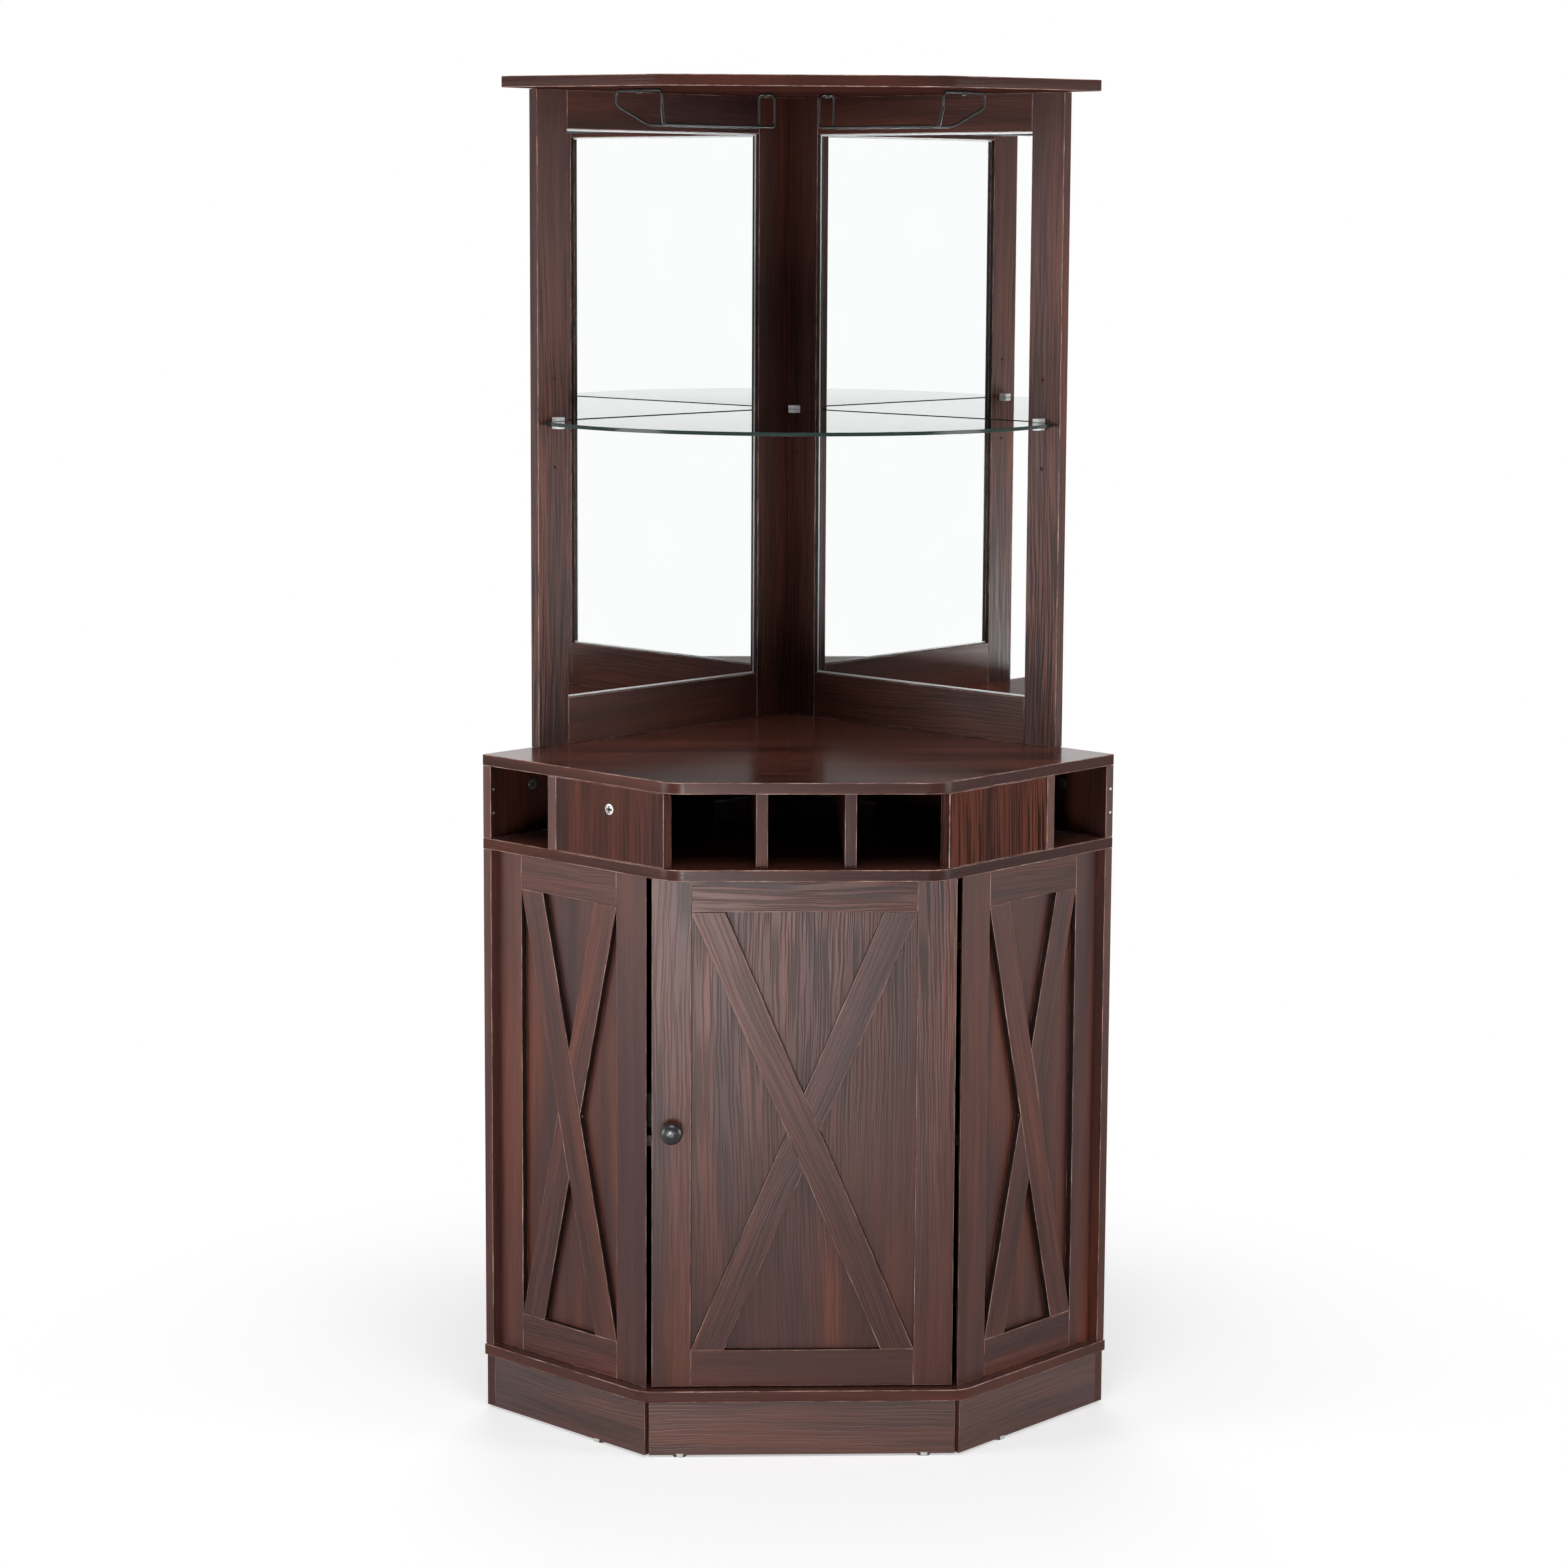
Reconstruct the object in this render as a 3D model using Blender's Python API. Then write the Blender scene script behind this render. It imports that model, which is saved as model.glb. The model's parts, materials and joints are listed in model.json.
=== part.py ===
"""Corner bar cabinet: five-sided lower cupboard with one hinged door, bottle
cubbies under the counter, and an open mirrored hutch with a glass shelf.

The cabinet stands on the XY plane in metres, front towards -Y, with the room's
corner behind it at +Y. Left and right are as seen from the front.
"""

import math

import bmesh
import bpy
from mathutils import Matrix, Vector

# Overall sizes
WALL_SIDE = 0.600
BOARD = 0.015
FIT_GAP = 0.0003
EDGE_SETBACK = 0.0005
OVERRUN = 0.002

# Heights, stacked from the floor
GLIDE_HEIGHT = 0.003
PLINTH_HEIGHT = 0.072
LOWER_HEIGHT = 0.686
CUBBY_HEIGHT = 0.098
HUTCH_HEIGHT = 0.881

# Five-sided boards
CORNER_RADIUS = 0.045
BASE_OVERHANG = 0.002
BASE_LIP = 0.01557
COUNTER_LIP = 0.0347
TOP_OVERHANG = 0.050
TOP_FRONT_SETBACK = 0.150
TOP_FRONT_WIDTH = 0.366
TOP_RADIUS = 0.060

# Plinth
PLINTH_RETURN_SETBACK = 0.005
PLINTH_FRONT_SETBACK = 0.0024
PLINTH_SLOT = 0.004
GLIDE_RADIUS = 0.009
GLIDE_FRONT_SPACING = 0.322
glide_return_shares = (0.69,)
glide_wall_shares = (0.16, 0.82)

# Framed faces of the lower cupboard
SIDE_INSET = 0.014
OVERLAY = 0.009
PANEL = 0.009
SIDE_WALL_STILE = 0.045
SIDE_FRONT_STILE = 0.0555
TOP_RAIL_DROP = 0.049
BOTTOM_RAIL_RISE = 0.051
BRACE_WIDTH = 0.040

# Door, knob and catch
DOOR_OPENING = 0.410
DOOR_SIDE_GAP = 0.007
DOOR_END_GAP = 0.002
DOOR_STILE = 0.051
KNOB_RISE = 0.3455
KNOB_RADIUS = 0.0145
KNOB_PROJECTION = 0.026
CATCH_RISE = 0.367
CATCH_HEIGHT = 0.046
CATCH_WIDTH = 0.015
CATCH_LENGTH = 0.026
CATCH_START = 0.008
CATCH_THICKNESS = 0.012
STRIKE_WIDTH = 0.013
STRIKE_HEIGHT = 0.040
STRIKE_THICKNESS = 0.0012
STRIKE_GAP = 0.0006

# Concealed hinges
HINGE_END_DISTANCE = 0.100
PIN_EDGE_DISTANCE = 0.010
PIN_DEPTH = 0.008
PIN_RADIUS = 0.0012
PIN_HOLE_RADIUS = 0.0015
KNUCKLE_RADIUS = 0.0025
CUP_EDGE_DISTANCE = 0.0225
CUP_RADIUS = 0.0175
CUP_DEPTH = 0.012
CUP_WALL = 0.0012
FLANGE_THICKNESS = 0.0012
FLANGE_MARGIN = 0.0013
FLANGE_HALF_HEIGHT = 0.031
CUP_SCREW_SPACING = 0.048
CUP_SCREW_RADIUS = 0.0032
SCREW_HEAD_HEIGHT = 0.0015
ARM_WIDTH = 0.010
ARM_THICKNESS = 0.002
ARM_NECK_OFFSET = 0.012
ARM_NECK_RISE = 0.023
ARM_STANDOFF = 0.0062
ARM_START = 0.012
ARM_LENGTH = 0.050
PLATE_START = 0.024
PLATE_LENGTH = 0.036
PLATE_HEIGHT = 0.048
PLATE_THICKNESS = 0.0045
PLATE_SCREW_SPACING = 0.032

# Inner shelf
INNER_SHELF_RISE = 0.310
INNER_SHELF_GAP = 0.0015
INNER_SHELF_SETBACK = 0.045
SHELF_PIN_RADIUS = 0.0025
SHELF_PIN_LENGTH = 0.009
SHELF_PIN_EMBED = 0.004
inner_shelf_wall_shares = (0.22, 0.86)
inner_shelf_side_share = 0.45

# Bottle cubbies
END_CUBBY_WIDTH = 0.111
END_DIVIDER_LENGTH = 0.300
FILLER_FRONT_SETBACK = 0.013
FRONT_DIVIDER_PITCH = 0.114
FRONT_DIVIDER_SETBACK = 0.0145
FRONT_DIVIDER_LENGTH = 0.300
CAM_RADIUS = 0.0075
CAM_DEPTH = 0.012
CAM_DROP = 0.032
CAM_FROM_CORNER = 0.112

# Hutch
HUTCH_SIDE = 0.510
POST_WIDTH = 0.055
INNER_POST_WIDTH = 0.0655
BOTTOM_RAIL_HEIGHT = 0.064
TOP_RAIL_HEIGHT = 0.052
MIRROR_REVEAL = 0.0065
MIRROR_OVERLAP = 0.006
MIRROR_THICKNESS = 0.004
BACKING_THICKNESS = 0.003

# Glass shelf and its supports
GLASS_RISE = 0.436
GLASS_THICKNESS = 0.005
GLASS_WALL_GAP = 0.0035
GLASS_END_INSET = 0.010
GLASS_REACH = 0.588
GLASS_ARC_STEPS = 28
SUPPORT_WIDTH = 0.012
SUPPORT_DEPTH = 0.013
SUPPORT_WALL = 0.0029
SUPPORT_JAW = 0.005
SUPPORT_END_INSET = 0.021
SUPPORT_CORNER_DISTANCE = 0.030
SUPPORT_PIN_RADIUS = 0.0025
SUPPORT_PIN_LENGTH = 0.008
SUPPORT_HOLE_PITCH = 0.060

# Stemware racks of bent wire
WIRE_RADIUS = 0.002
RACK_OFFSET = 0.122
RACK_REAR = 0.180
RACK_RAIL_LENGTH = 0.215
RACK_GAP = 0.029
RACK_FLARE_FORWARD = 0.031
RACK_FLARE_SIDE = 0.028
RACK_HEIGHT = 0.044
RACK_FLARE_RISE = 0.025
RACK_BEND = 0.007
TAB_LENGTH = 0.016
TAB_WIDTH = 0.011
TAB_THICKNESS = 0.0016
TAB_SCREW_RADIUS = 0.004
TAB_SCREW_HEIGHT = 0.0045

LEFT, RIGHT = -1, 1
SIDE_NAMES = {LEFT: "left", RIGHT: "right"}
DIAGONAL = math.sqrt(0.5)
ROUND_SIDES = 24
WIRE_SIDES = 8

# Levels worked out from the stacked heights
base_bottom = GLIDE_HEIGHT + PLINTH_HEIGHT
base_top = base_bottom + BOARD
shelf_bottom = base_top + LOWER_HEIGHT
shelf_top = shelf_bottom + BOARD
counter_bottom = shelf_top + CUBBY_HEIGHT
counter_top = counter_bottom + BOARD
top_bottom = counter_top + HUTCH_HEIGHT
top_top = top_bottom + BOARD

# Places in plan: the door fills the gap between the side faces, and the boards reach past it
base_side = WALL_SIDE + BASE_OVERHANG
frame_face = WALL_SIDE - SIDE_INSET
panel_face = frame_face - OVERLAY - FIT_GAP
panel_back = panel_face - PANEL
door_reach = frame_face / DIAGONAL - DOOR_OPENING / 2
overall_depth = door_reach + BASE_LIP + COUNTER_LIP
corner_y = overall_depth / 2
counter_front = -overall_depth / 2
base_front = counter_front + COUNTER_LIP

# Finishes: colour, roughness, metallic, transmission
FINISHES = {
    "wood": ((0.062, 0.026, 0.021), 0.42, 0.0, 0.0),
    "black": ((0.012, 0.012, 0.013), 0.35, 0.0, 0.0),
    "wire": ((0.016, 0.016, 0.018), 0.38, 0.7, 0.0),
    "steel": ((0.62, 0.62, 0.63), 0.28, 1.0, 0.0),
    "mirror": ((0.90, 0.92, 0.92), 0.02, 1.0, 0.0),
    "glass": ((0.86, 0.94, 0.91), 0.03, 0.0, 1.0),
    "plastic": ((0.82, 0.84, 0.84), 0.30, 0.0, 0.4),
    "backing": ((0.16, 0.10, 0.07), 0.75, 0.0, 0.0),
}


def clear_scene():
    """Remove whatever the opened file holds."""
    for item in list(bpy.data.objects):
        bpy.data.objects.remove(item, do_unlink=True)


def make_finish(name, kind):
    """A material for one piece."""
    colour, roughness, metallic, transmission = FINISHES[kind]
    made = bpy.data.materials.new(name + "_finish")
    made.use_nodes = True
    shader = made.node_tree.nodes["Principled BSDF"]
    shader.inputs["Base Color"].default_value = (*colour, 1.0)
    shader.inputs["Roughness"].default_value = roughness
    shader.inputs["Metallic"].default_value = metallic
    shader.inputs["Transmission Weight"].default_value = transmission
    return made


def add_object(name, mesh, kind):
    """Link one piece with its own material."""
    item = bpy.data.objects.new(name, mesh)
    bpy.context.scene.collection.objects.link(item)
    mesh.materials.append(make_finish(name, kind))
    return item


def add_tool(name, mesh):
    """Link a hidden shape that only cuts or joins."""
    item = bpy.data.objects.new(name, mesh)
    bpy.context.scene.collection.objects.link(item)
    item.hide_render = True
    item.display_type = "WIRE"
    return item


def combine(target, tool, operation):
    """Cut the tool from the target or join it on."""
    modifier = target.modifiers.new(tool.name, "BOOLEAN")
    modifier.operation = operation
    modifier.solver = "EXACT"
    modifier.object = tool


def cut(target, tool):
    combine(target, tool, "DIFFERENCE")


def join(target, tool):
    combine(target, tool, "UNION")


def mesh_between(name, near_loop, far_loop):
    """Closed solid between two matching loops of points."""
    mesh = bpy.data.meshes.new(name)
    shape = bmesh.new()
    near = [shape.verts.new(point) for point in near_loop]
    far = [shape.verts.new(point) for point in far_loop]
    shape.faces.new(near)
    shape.faces.new(far)
    for index, corner in enumerate(near):
        following = (index + 1) % len(near)
        shape.faces.new((corner, near[following], far[following], far[index]))
    bmesh.ops.recalc_face_normals(shape, faces=shape.faces)
    shape.to_mesh(mesh)
    shape.free()
    return mesh


def prism_mesh(name, outline, bottom, top):
    """Plan outline raised from bottom to top."""
    low = [(x, y, bottom) for x, y in outline]
    high = [(x, y, top) for x, y in outline]
    return mesh_between(name, low, high)


def slab_mesh(name, place, outline, near, far):
    """Upright outline of (across, height) points between two depths."""
    front = [place(across, near, height) for across, height in outline]
    back = [place(across, far, height) for across, height in outline]
    return mesh_between(name, front, back)


def rectangle(low_across, high_across, low, high):
    """Outline of an upright or plan rectangle."""
    return [(low_across, low), (high_across, low), (high_across, high), (low_across, high)]


def frame_towards(start, end):
    """Matrix whose +Z runs from start to end, centred between them."""
    direction = Vector(end) - Vector(start)
    middle = (Vector(start) + Vector(end)) / 2
    turn = direction.to_track_quat("Z", "X").to_matrix().to_4x4()
    return Matrix.Translation(middle) @ turn, direction.length


def rod_mesh(name, start, end, radius):
    """Round bar between two points."""
    placed, length = frame_towards(start, end)
    mesh = bpy.data.meshes.new(name)
    shape = bmesh.new()
    bmesh.ops.create_cone(shape, cap_ends=True, segments=ROUND_SIDES, radius1=radius,
                          radius2=radius, depth=length, matrix=placed)
    shape.to_mesh(mesh)
    shape.free()
    return shade_round(mesh)


def turned_mesh(name, profile, start, end):
    """Shape turned about the line from start to end; profile gives (radius, distance)."""
    direction = Vector(end) - Vector(start)
    turn = direction.to_track_quat("Z", "X").to_matrix().to_4x4()
    placed = Matrix.Translation(Vector(start)) @ turn
    mesh = bpy.data.meshes.new(name)
    shape = bmesh.new()
    rings = []
    for radius, distance in profile:
        ring = []
        for step in range(ROUND_SIDES):
            angle = math.tau * step / ROUND_SIDES
            local = Vector((radius * math.cos(angle), radius * math.sin(angle), distance))
            ring.append(shape.verts.new(placed @ local))
        rings.append(ring)
    for lower, upper in zip(rings, rings[1:]):
        for step in range(ROUND_SIDES):
            following = (step + 1) % ROUND_SIDES
            shape.faces.new((lower[step], lower[following], upper[following], upper[step]))
    shape.faces.new(rings[0])
    shape.faces.new(rings[-1])
    bmesh.ops.recalc_face_normals(shape, faces=shape.faces)
    shape.to_mesh(mesh)
    shape.free()
    return shade_round(mesh)


def shade_round(mesh):
    mesh.shade_smooth()
    mesh.set_sharp_from_angle(angle=math.radians(35))
    return mesh


def wall_xy(side, along, inward):
    """Plan point by its distance along one room wall and its distance off that wall."""
    x = side * (along - inward) * DIAGONAL
    y = corner_y - (along + inward) * DIAGONAL
    return (x, y)


def inward_at_y(y, along):
    """Distance off the wall where the line at this along distance meets a plan y."""
    return (corner_y - y) / DIAGONAL - along


def inward_at_x(half_width, along):
    """Distance off the wall where the line at this along distance meets a half width."""
    return along - half_width / DIAGONAL


def on_wall(side):
    """Place function for boards parallel to a room wall."""
    return lambda across, depth, height: (*wall_xy(side, across, depth), height)


def on_return(side):
    """Place function for boards square to a room wall."""
    return lambda across, depth, height: (*wall_xy(side, depth, across), height)


def on_front(across, depth, height):
    """Place function for boards that face the front."""
    return (across, depth, height)


def rounded(before, corner, after, radius):
    """Arc that rounds a corner of an outline."""
    corner = Vector(corner)
    to_before = (Vector(before) - corner).normalized()
    to_after = (Vector(after) - corner).normalized()
    half_angle = to_before.angle(to_after) / 2
    tangent = radius / math.tan(half_angle)
    centre = corner + (to_before + to_after).normalized() * radius / math.sin(half_angle)
    start = corner + to_before * tangent - centre
    turn = start.angle_signed(corner + to_after * tangent - centre)
    steps = 6
    points = []
    for step in range(steps + 1):
        angle = -turn * step / steps
        spun = Matrix.Rotation(angle, 2) @ start
        points.append(tuple(centre + spun))
    return points


def five_sided(side_length, front, front_half_width, radius):
    """Outline of a corner board: two wall edges, two returns and the front."""
    left_end = wall_xy(LEFT, side_length, 0)
    right_end = wall_xy(RIGHT, side_length, 0)
    left_front = (-front_half_width, front)
    right_front = (front_half_width, front)
    outline = [wall_xy(LEFT, 0, 0), left_end]
    outline += rounded(left_end, left_front, right_front, radius)
    outline += rounded(left_front, right_front, right_end, radius)
    outline.append(right_end)
    return outline


def square_front_half_width(side_length, front):
    """Half width of the front where the returns run square to the walls."""
    return (side_length - inward_at_y(front, side_length)) * DIAGONAL


def add_board(name, outline, bottom, top):
    return add_object(name, prism_mesh(name, outline, bottom, top), "wood")


def wall_start(side):
    """The right wall runs into the corner and the left one butts against it."""
    return BOARD + FIT_GAP if side == LEFT else 0.0


def add_wall_board(name, side, near, far, bottom, top, start=0.0, end=BOARD):
    """Upright board parallel to a room wall."""
    outline = [wall_xy(side, near, start), wall_xy(side, far, start),
               wall_xy(side, far, end), wall_xy(side, near, end)]
    return add_board(name, outline, bottom, top)


def add_five_sided_boards():
    base_half = square_front_half_width(base_side, base_front)
    counter_half = square_front_half_width(WALL_SIDE, counter_front)
    base = five_sided(base_side, base_front, base_half, CORNER_RADIUS)
    counter = five_sided(WALL_SIDE, counter_front, counter_half, CORNER_RADIUS)
    top_front = counter_front + TOP_FRONT_SETBACK
    top = five_sided(HUTCH_SIDE + TOP_OVERHANG, top_front, TOP_FRONT_WIDTH / 2, TOP_RADIUS)
    add_board("base_board", base, base_bottom, base_top)
    add_board("shelf_board", counter, shelf_bottom, shelf_top)
    add_board("counter_top", counter, counter_bottom, counter_top)
    add_board("top_board", top, top_bottom, top_top)


def join_glides(plinth, places):
    """Nail-on glides under a plinth board."""
    for number, (x, y) in enumerate(places, 1):
        name = f"{plinth.name}_glide_{number}"
        mesh = rod_mesh(name, (x, y, 0), (x, y, GLIDE_HEIGHT + OVERRUN), GLIDE_RADIUS)
        join(plinth, add_tool(name, mesh))


def add_plinth():
    top = base_bottom - FIT_GAP
    along = base_side - PLINTH_RETURN_SETBACK
    front = base_front + PLINTH_FRONT_SETBACK
    middle = BOARD / 2
    reach = inward_at_y(front, along)
    for side, word in SIDE_NAMES.items():
        start = wall_start(side)
        wall = add_wall_board(f"plinth_wall_{word}", side, start, along, GLIDE_HEIGHT, top)
        spots = [wall_xy(side, start + (along - start) * share, middle)
                 for share in glide_wall_shares]
        join_glides(wall, spots)
        inner = BOARD + FIT_GAP
        panel = add_wall_board(f"plinth_{word}", side, along - BOARD, along, GLIDE_HEIGHT, top,
                               inner, reach)
        spots = [wall_xy(side, along - middle, inner + (reach - inner) * share)
                 for share in glide_return_shares]
        join_glides(panel, spots)
    slot_line = reach + PLINTH_SLOT
    back = front + BOARD
    front_x = wall_xy(RIGHT, inward_at_y(front, slot_line), slot_line)[0]
    back_x = wall_xy(RIGHT, inward_at_y(back, slot_line), slot_line)[0]
    outline = [(-front_x, front), (front_x, front), (back_x, back), (-back_x, back)]
    board = add_board("plinth_front", outline, GLIDE_HEIGHT, top)
    half_spacing = GLIDE_FRONT_SPACING / 2
    join_glides(board, [(-half_spacing, front + middle), (half_spacing, front + middle)])


def brace_shift(width, height, brace_width):
    """Level length of a plank's end, where the plank crosses the frame corner to corner."""
    squared = brace_width ** 2
    spare = height ** 2 - squared
    root = math.sqrt((squared * width) ** 2 + spare * squared * (height ** 2 + width ** 2))
    return (root - squared * width) / spare


def brace_outline(window, rising, grow=0.0, extend=0.0):
    """Plank across a window (low across, high across, low, high), falling or rising."""
    low_across, high_across, low, high = window
    width = high_across - low_across
    height = high - low
    shift = brace_shift(width, height, BRACE_WIDTH)
    lean = (width - shift) / height * extend
    wide = grow / (BRACE_WIDTH / shift)
    outline = [
        (low_across - wide - lean, high + extend),
        (low_across + shift + wide - lean, high + extend),
        (high_across + wide + lean, low - extend),
        (high_across - shift - wide + lean, low - extend),
    ]
    if rising:
        outline = [(low_across + high_across - across, level) for across, level in outline]
    return outline


def add_braces(name, place, window, face, back, flip):
    """Two planks half-lapped into a cross; the long one shows unbroken."""
    middle = (face + back) / 2
    step = math.copysign(OVERRUN, face - back)
    lap = math.copysign(FIT_GAP / 2, face - back)
    long_outline = brace_outline(window, flip)
    cross_outline = brace_outline(window, not flip)
    long_mesh = slab_mesh(f"{name}_brace_long", place, long_outline, face, back)
    cross_mesh = slab_mesh(f"{name}_brace_cross", place, cross_outline, face, back)
    long_brace = add_object(f"{name}_brace_long", long_mesh, "wood")
    cross_brace = add_object(f"{name}_brace_cross", cross_mesh, "wood")
    under = slab_mesh(f"{name}_lap_under", place,
                      brace_outline(window, not flip, FIT_GAP, OVERRUN),
                      middle + lap, back - step)
    over = slab_mesh(f"{name}_lap_over", place,
                     brace_outline(window, flip, FIT_GAP, OVERRUN),
                     middle - lap, face + step)
    cut(long_brace, add_tool(f"{name}_lap_under", under))
    cut(cross_brace, add_tool(f"{name}_lap_over", over))


def shrink(window, gap):
    low_across, high_across, low, high = window
    return (low_across + gap, high_across - gap, low + gap, high - gap)


def add_side_faces():
    """Fixed framed panels at both sides of the door."""
    low = base_top + FIT_GAP
    high = shelf_bottom - FIT_GAP
    inner = BOARD + FIT_GAP
    half_opening = DOOR_OPENING / 2
    for side, word in SIDE_NAMES.items():
        place = on_return(side)
        overlay_back = frame_face - OVERLAY
        for name, face, back in ((f"side_{word}_frame", frame_face, overlay_back),
                                 (f"side_{word}_panel", panel_face, panel_back)):
            outline = [wall_xy(side, face, inner), wall_xy(side, back, inner),
                       wall_xy(side, back, inward_at_x(half_opening, back)),
                       wall_xy(side, face, inward_at_x(half_opening, face))]
            add_board(name, outline, low, high)
        window = (BOARD + SIDE_WALL_STILE,
                  inward_at_x(half_opening, frame_face) - SIDE_FRONT_STILE,
                  base_top + BOTTOM_RAIL_RISE, shelf_bottom - TOP_RAIL_DROP)
        hole = slab_mesh(f"side_{word}_window", place, rectangle(*window),
                         frame_face + OVERRUN, overlay_back - OVERRUN)
        cut(bpy.data.objects[f"side_{word}_frame"], add_tool(f"side_{word}_window", hole))
        add_braces(f"side_{word}", place, shrink(window, FIT_GAP), frame_face, overlay_back,
                   side == RIGHT)


def add_lower_walls():
    for side, word in SIDE_NAMES.items():
        end = WALL_SIDE - EDGE_SETBACK
        add_wall_board(f"lower_wall_{word}", side, wall_start(side), end,
                       base_top + FIT_GAP, shelf_bottom - FIT_GAP)
        add_wall_board(f"cubby_wall_{word}", side, wall_start(side), end,
                       shelf_top + FIT_GAP, counter_bottom - FIT_GAP)


def add_inner_shelf():
    """Loose shelf on pins that stand in the walls and side panels."""
    bottom = base_top + INNER_SHELF_RISE
    front = door_back + INNER_SHELF_SETBACK
    start = BOARD + INNER_SHELF_GAP
    end = panel_back - INNER_SHELF_GAP
    reach = inward_at_y(front, end)
    outline = [wall_xy(LEFT, start, start), wall_xy(LEFT, end, start),
               wall_xy(LEFT, end, reach), wall_xy(RIGHT, end, reach),
               wall_xy(RIGHT, end, start)]
    add_board("inner_shelf", outline, bottom, bottom + BOARD)
    level = bottom - FIT_GAP - SHELF_PIN_RADIUS
    for side, word in SIDE_NAMES.items():
        wall = bpy.data.objects[f"lower_wall_{word}"]
        for number, share in enumerate(inner_shelf_wall_shares, 1):
            along = start + (end - start) * share
            root = wall_xy(side, along, BOARD - SHELF_PIN_EMBED)
            tip = wall_xy(side, along, BOARD + SHELF_PIN_LENGTH)
            join_pin(wall, f"wall_pin_{word}_{number}", root, tip, level)
        panel = bpy.data.objects[f"side_{word}_panel"]
        across = start + (reach - start) * inner_shelf_side_share
        root = wall_xy(side, panel_back + SHELF_PIN_EMBED, across)
        tip = wall_xy(side, panel_back - SHELF_PIN_LENGTH, across)
        join_pin(panel, f"side_pin_{word}", root, tip, level)


def join_pin(board, name, root, tip, level):
    mesh = rod_mesh(name, (*root, level), (*tip, level), SHELF_PIN_RADIUS)
    join(board, add_tool(name, mesh))


# Door places that the hinges and the catch share
half_door = DOOR_OPENING / 2 - DOOR_SIDE_GAP
door_front = corner_y - door_reach
door_panel_front = door_front + OVERLAY + FIT_GAP
door_back = door_panel_front + PANEL
door_bottom = base_top + DOOR_END_GAP
door_top = shelf_bottom - DOOR_END_GAP
pin_x = half_door - PIN_EDGE_DISTANCE
pin_y = door_back - PIN_DEPTH
cup_x = half_door - CUP_EDGE_DISTANCE
hinge_levels = {"lower": door_bottom + HINGE_END_DISTANCE,
                "upper": door_top - HINGE_END_DISTANCE}


def add_door():
    """Door on the empty that stands on the hinge line."""
    outer = rectangle(-half_door, half_door, door_bottom, door_top)
    window = (-half_door + DOOR_STILE, half_door - DOOR_STILE,
              base_top + BOTTOM_RAIL_RISE, shelf_bottom - TOP_RAIL_DROP)
    overlay_back = door_front + OVERLAY
    frame = add_object("door_frame", slab_mesh("door_frame", on_front, outer, door_front,
                                               overlay_back), "wood")
    panel = add_object("door_panel", slab_mesh("door_panel", on_front, outer,
                                               door_panel_front, door_back), "wood")
    hole = slab_mesh("door_window", on_front, rectangle(*window), door_front - OVERRUN,
                     overlay_back + OVERRUN)
    cut(frame, add_tool("door_window", hole))
    add_braces("door", on_front, shrink(window, FIT_GAP), door_front, overlay_back, False)
    for word, level in hinge_levels.items():
        name = f"cup_hole_{word}"
        bore = rod_mesh(name, (cup_x, door_back + OVERRUN, level),
                        (cup_x, door_back - CUP_DEPTH - FIT_GAP, level), CUP_RADIUS + FIT_GAP)
        tool = add_tool(name, bore)
        cut(frame, tool)
        cut(panel, tool)


def add_knob():
    """Round knob on a short neck, centred on the left stile."""
    x = -half_door + DOOR_STILE / 2
    level = door_bottom + KNOB_RISE
    seat = door_front - FIT_GAP
    shares = ((0.50, 0.0), (0.50, 0.06), (0.36, 0.14), (0.36, 0.34), (0.62, 0.46), (0.90, 0.56),
              (1.0, 0.68), (0.97, 0.80), (0.82, 0.91), (0.52, 0.98), (0.18, 1.0))
    profile = [(KNOB_RADIUS * wide, KNOB_PROJECTION * far) for wide, far in shares]
    mesh = turned_mesh("knob", profile, (x, seat, level), (x, seat - KNOB_PROJECTION, level))
    add_object("knob", mesh, "black")


def add_catch():
    """Magnetic catch on the left side panel, and its strike plate on the door."""
    end_x = DOOR_OPENING / 2
    end_inward = inward_at_x(end_x, panel_back)
    off = panel_back - FIT_GAP
    deep = panel_back - CATCH_THICKNESS
    level = door_bottom + CATCH_RISE
    strike_face = door_back + FIT_GAP + STRIKE_THICKNESS
    mouth = strike_face + STRIKE_GAP
    outer_x = -half_door
    inner_x = outer_x + CATCH_WIDTH
    far = end_inward - CATCH_START - CATCH_LENGTH
    outline = [wall_xy(LEFT, off, far), wall_xy(LEFT, off, end_inward - CATCH_START),
               (-end_x + CATCH_WIDTH / 3, mouth + OVERRUN),
               (outer_x, mouth), (inner_x, mouth), (inner_x, mouth + CATCH_WIDTH),
               wall_xy(LEFT, deep, far)]
    mesh = prism_mesh("magnetic_catch", outline, level - CATCH_HEIGHT / 2,
                      level + CATCH_HEIGHT / 2)
    add_object("magnetic_catch", mesh, "black")
    plate = rectangle(outer_x + FIT_GAP, outer_x + FIT_GAP + STRIKE_WIDTH,
                      level - STRIKE_HEIGHT / 2, level + STRIKE_HEIGHT / 2)
    mesh = slab_mesh("strike_plate", on_front, plate, door_back + FIT_GAP, strike_face)
    add_object("strike_plate", mesh, "steel")


def stadium(centre_across, centre_level, half_width, half_height):
    """Upright outline with round ends."""
    points = []
    steps = 10
    straight = half_height - half_width
    for end, first in ((1, 0.0), (-1, math.pi)):
        for step in range(steps + 1):
            angle = first + math.pi * step / steps
            across = centre_across + half_width * math.cos(angle)
            level = centre_level + end * straight + half_width * math.sin(angle)
            points.append((across, level))
    return points


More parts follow.
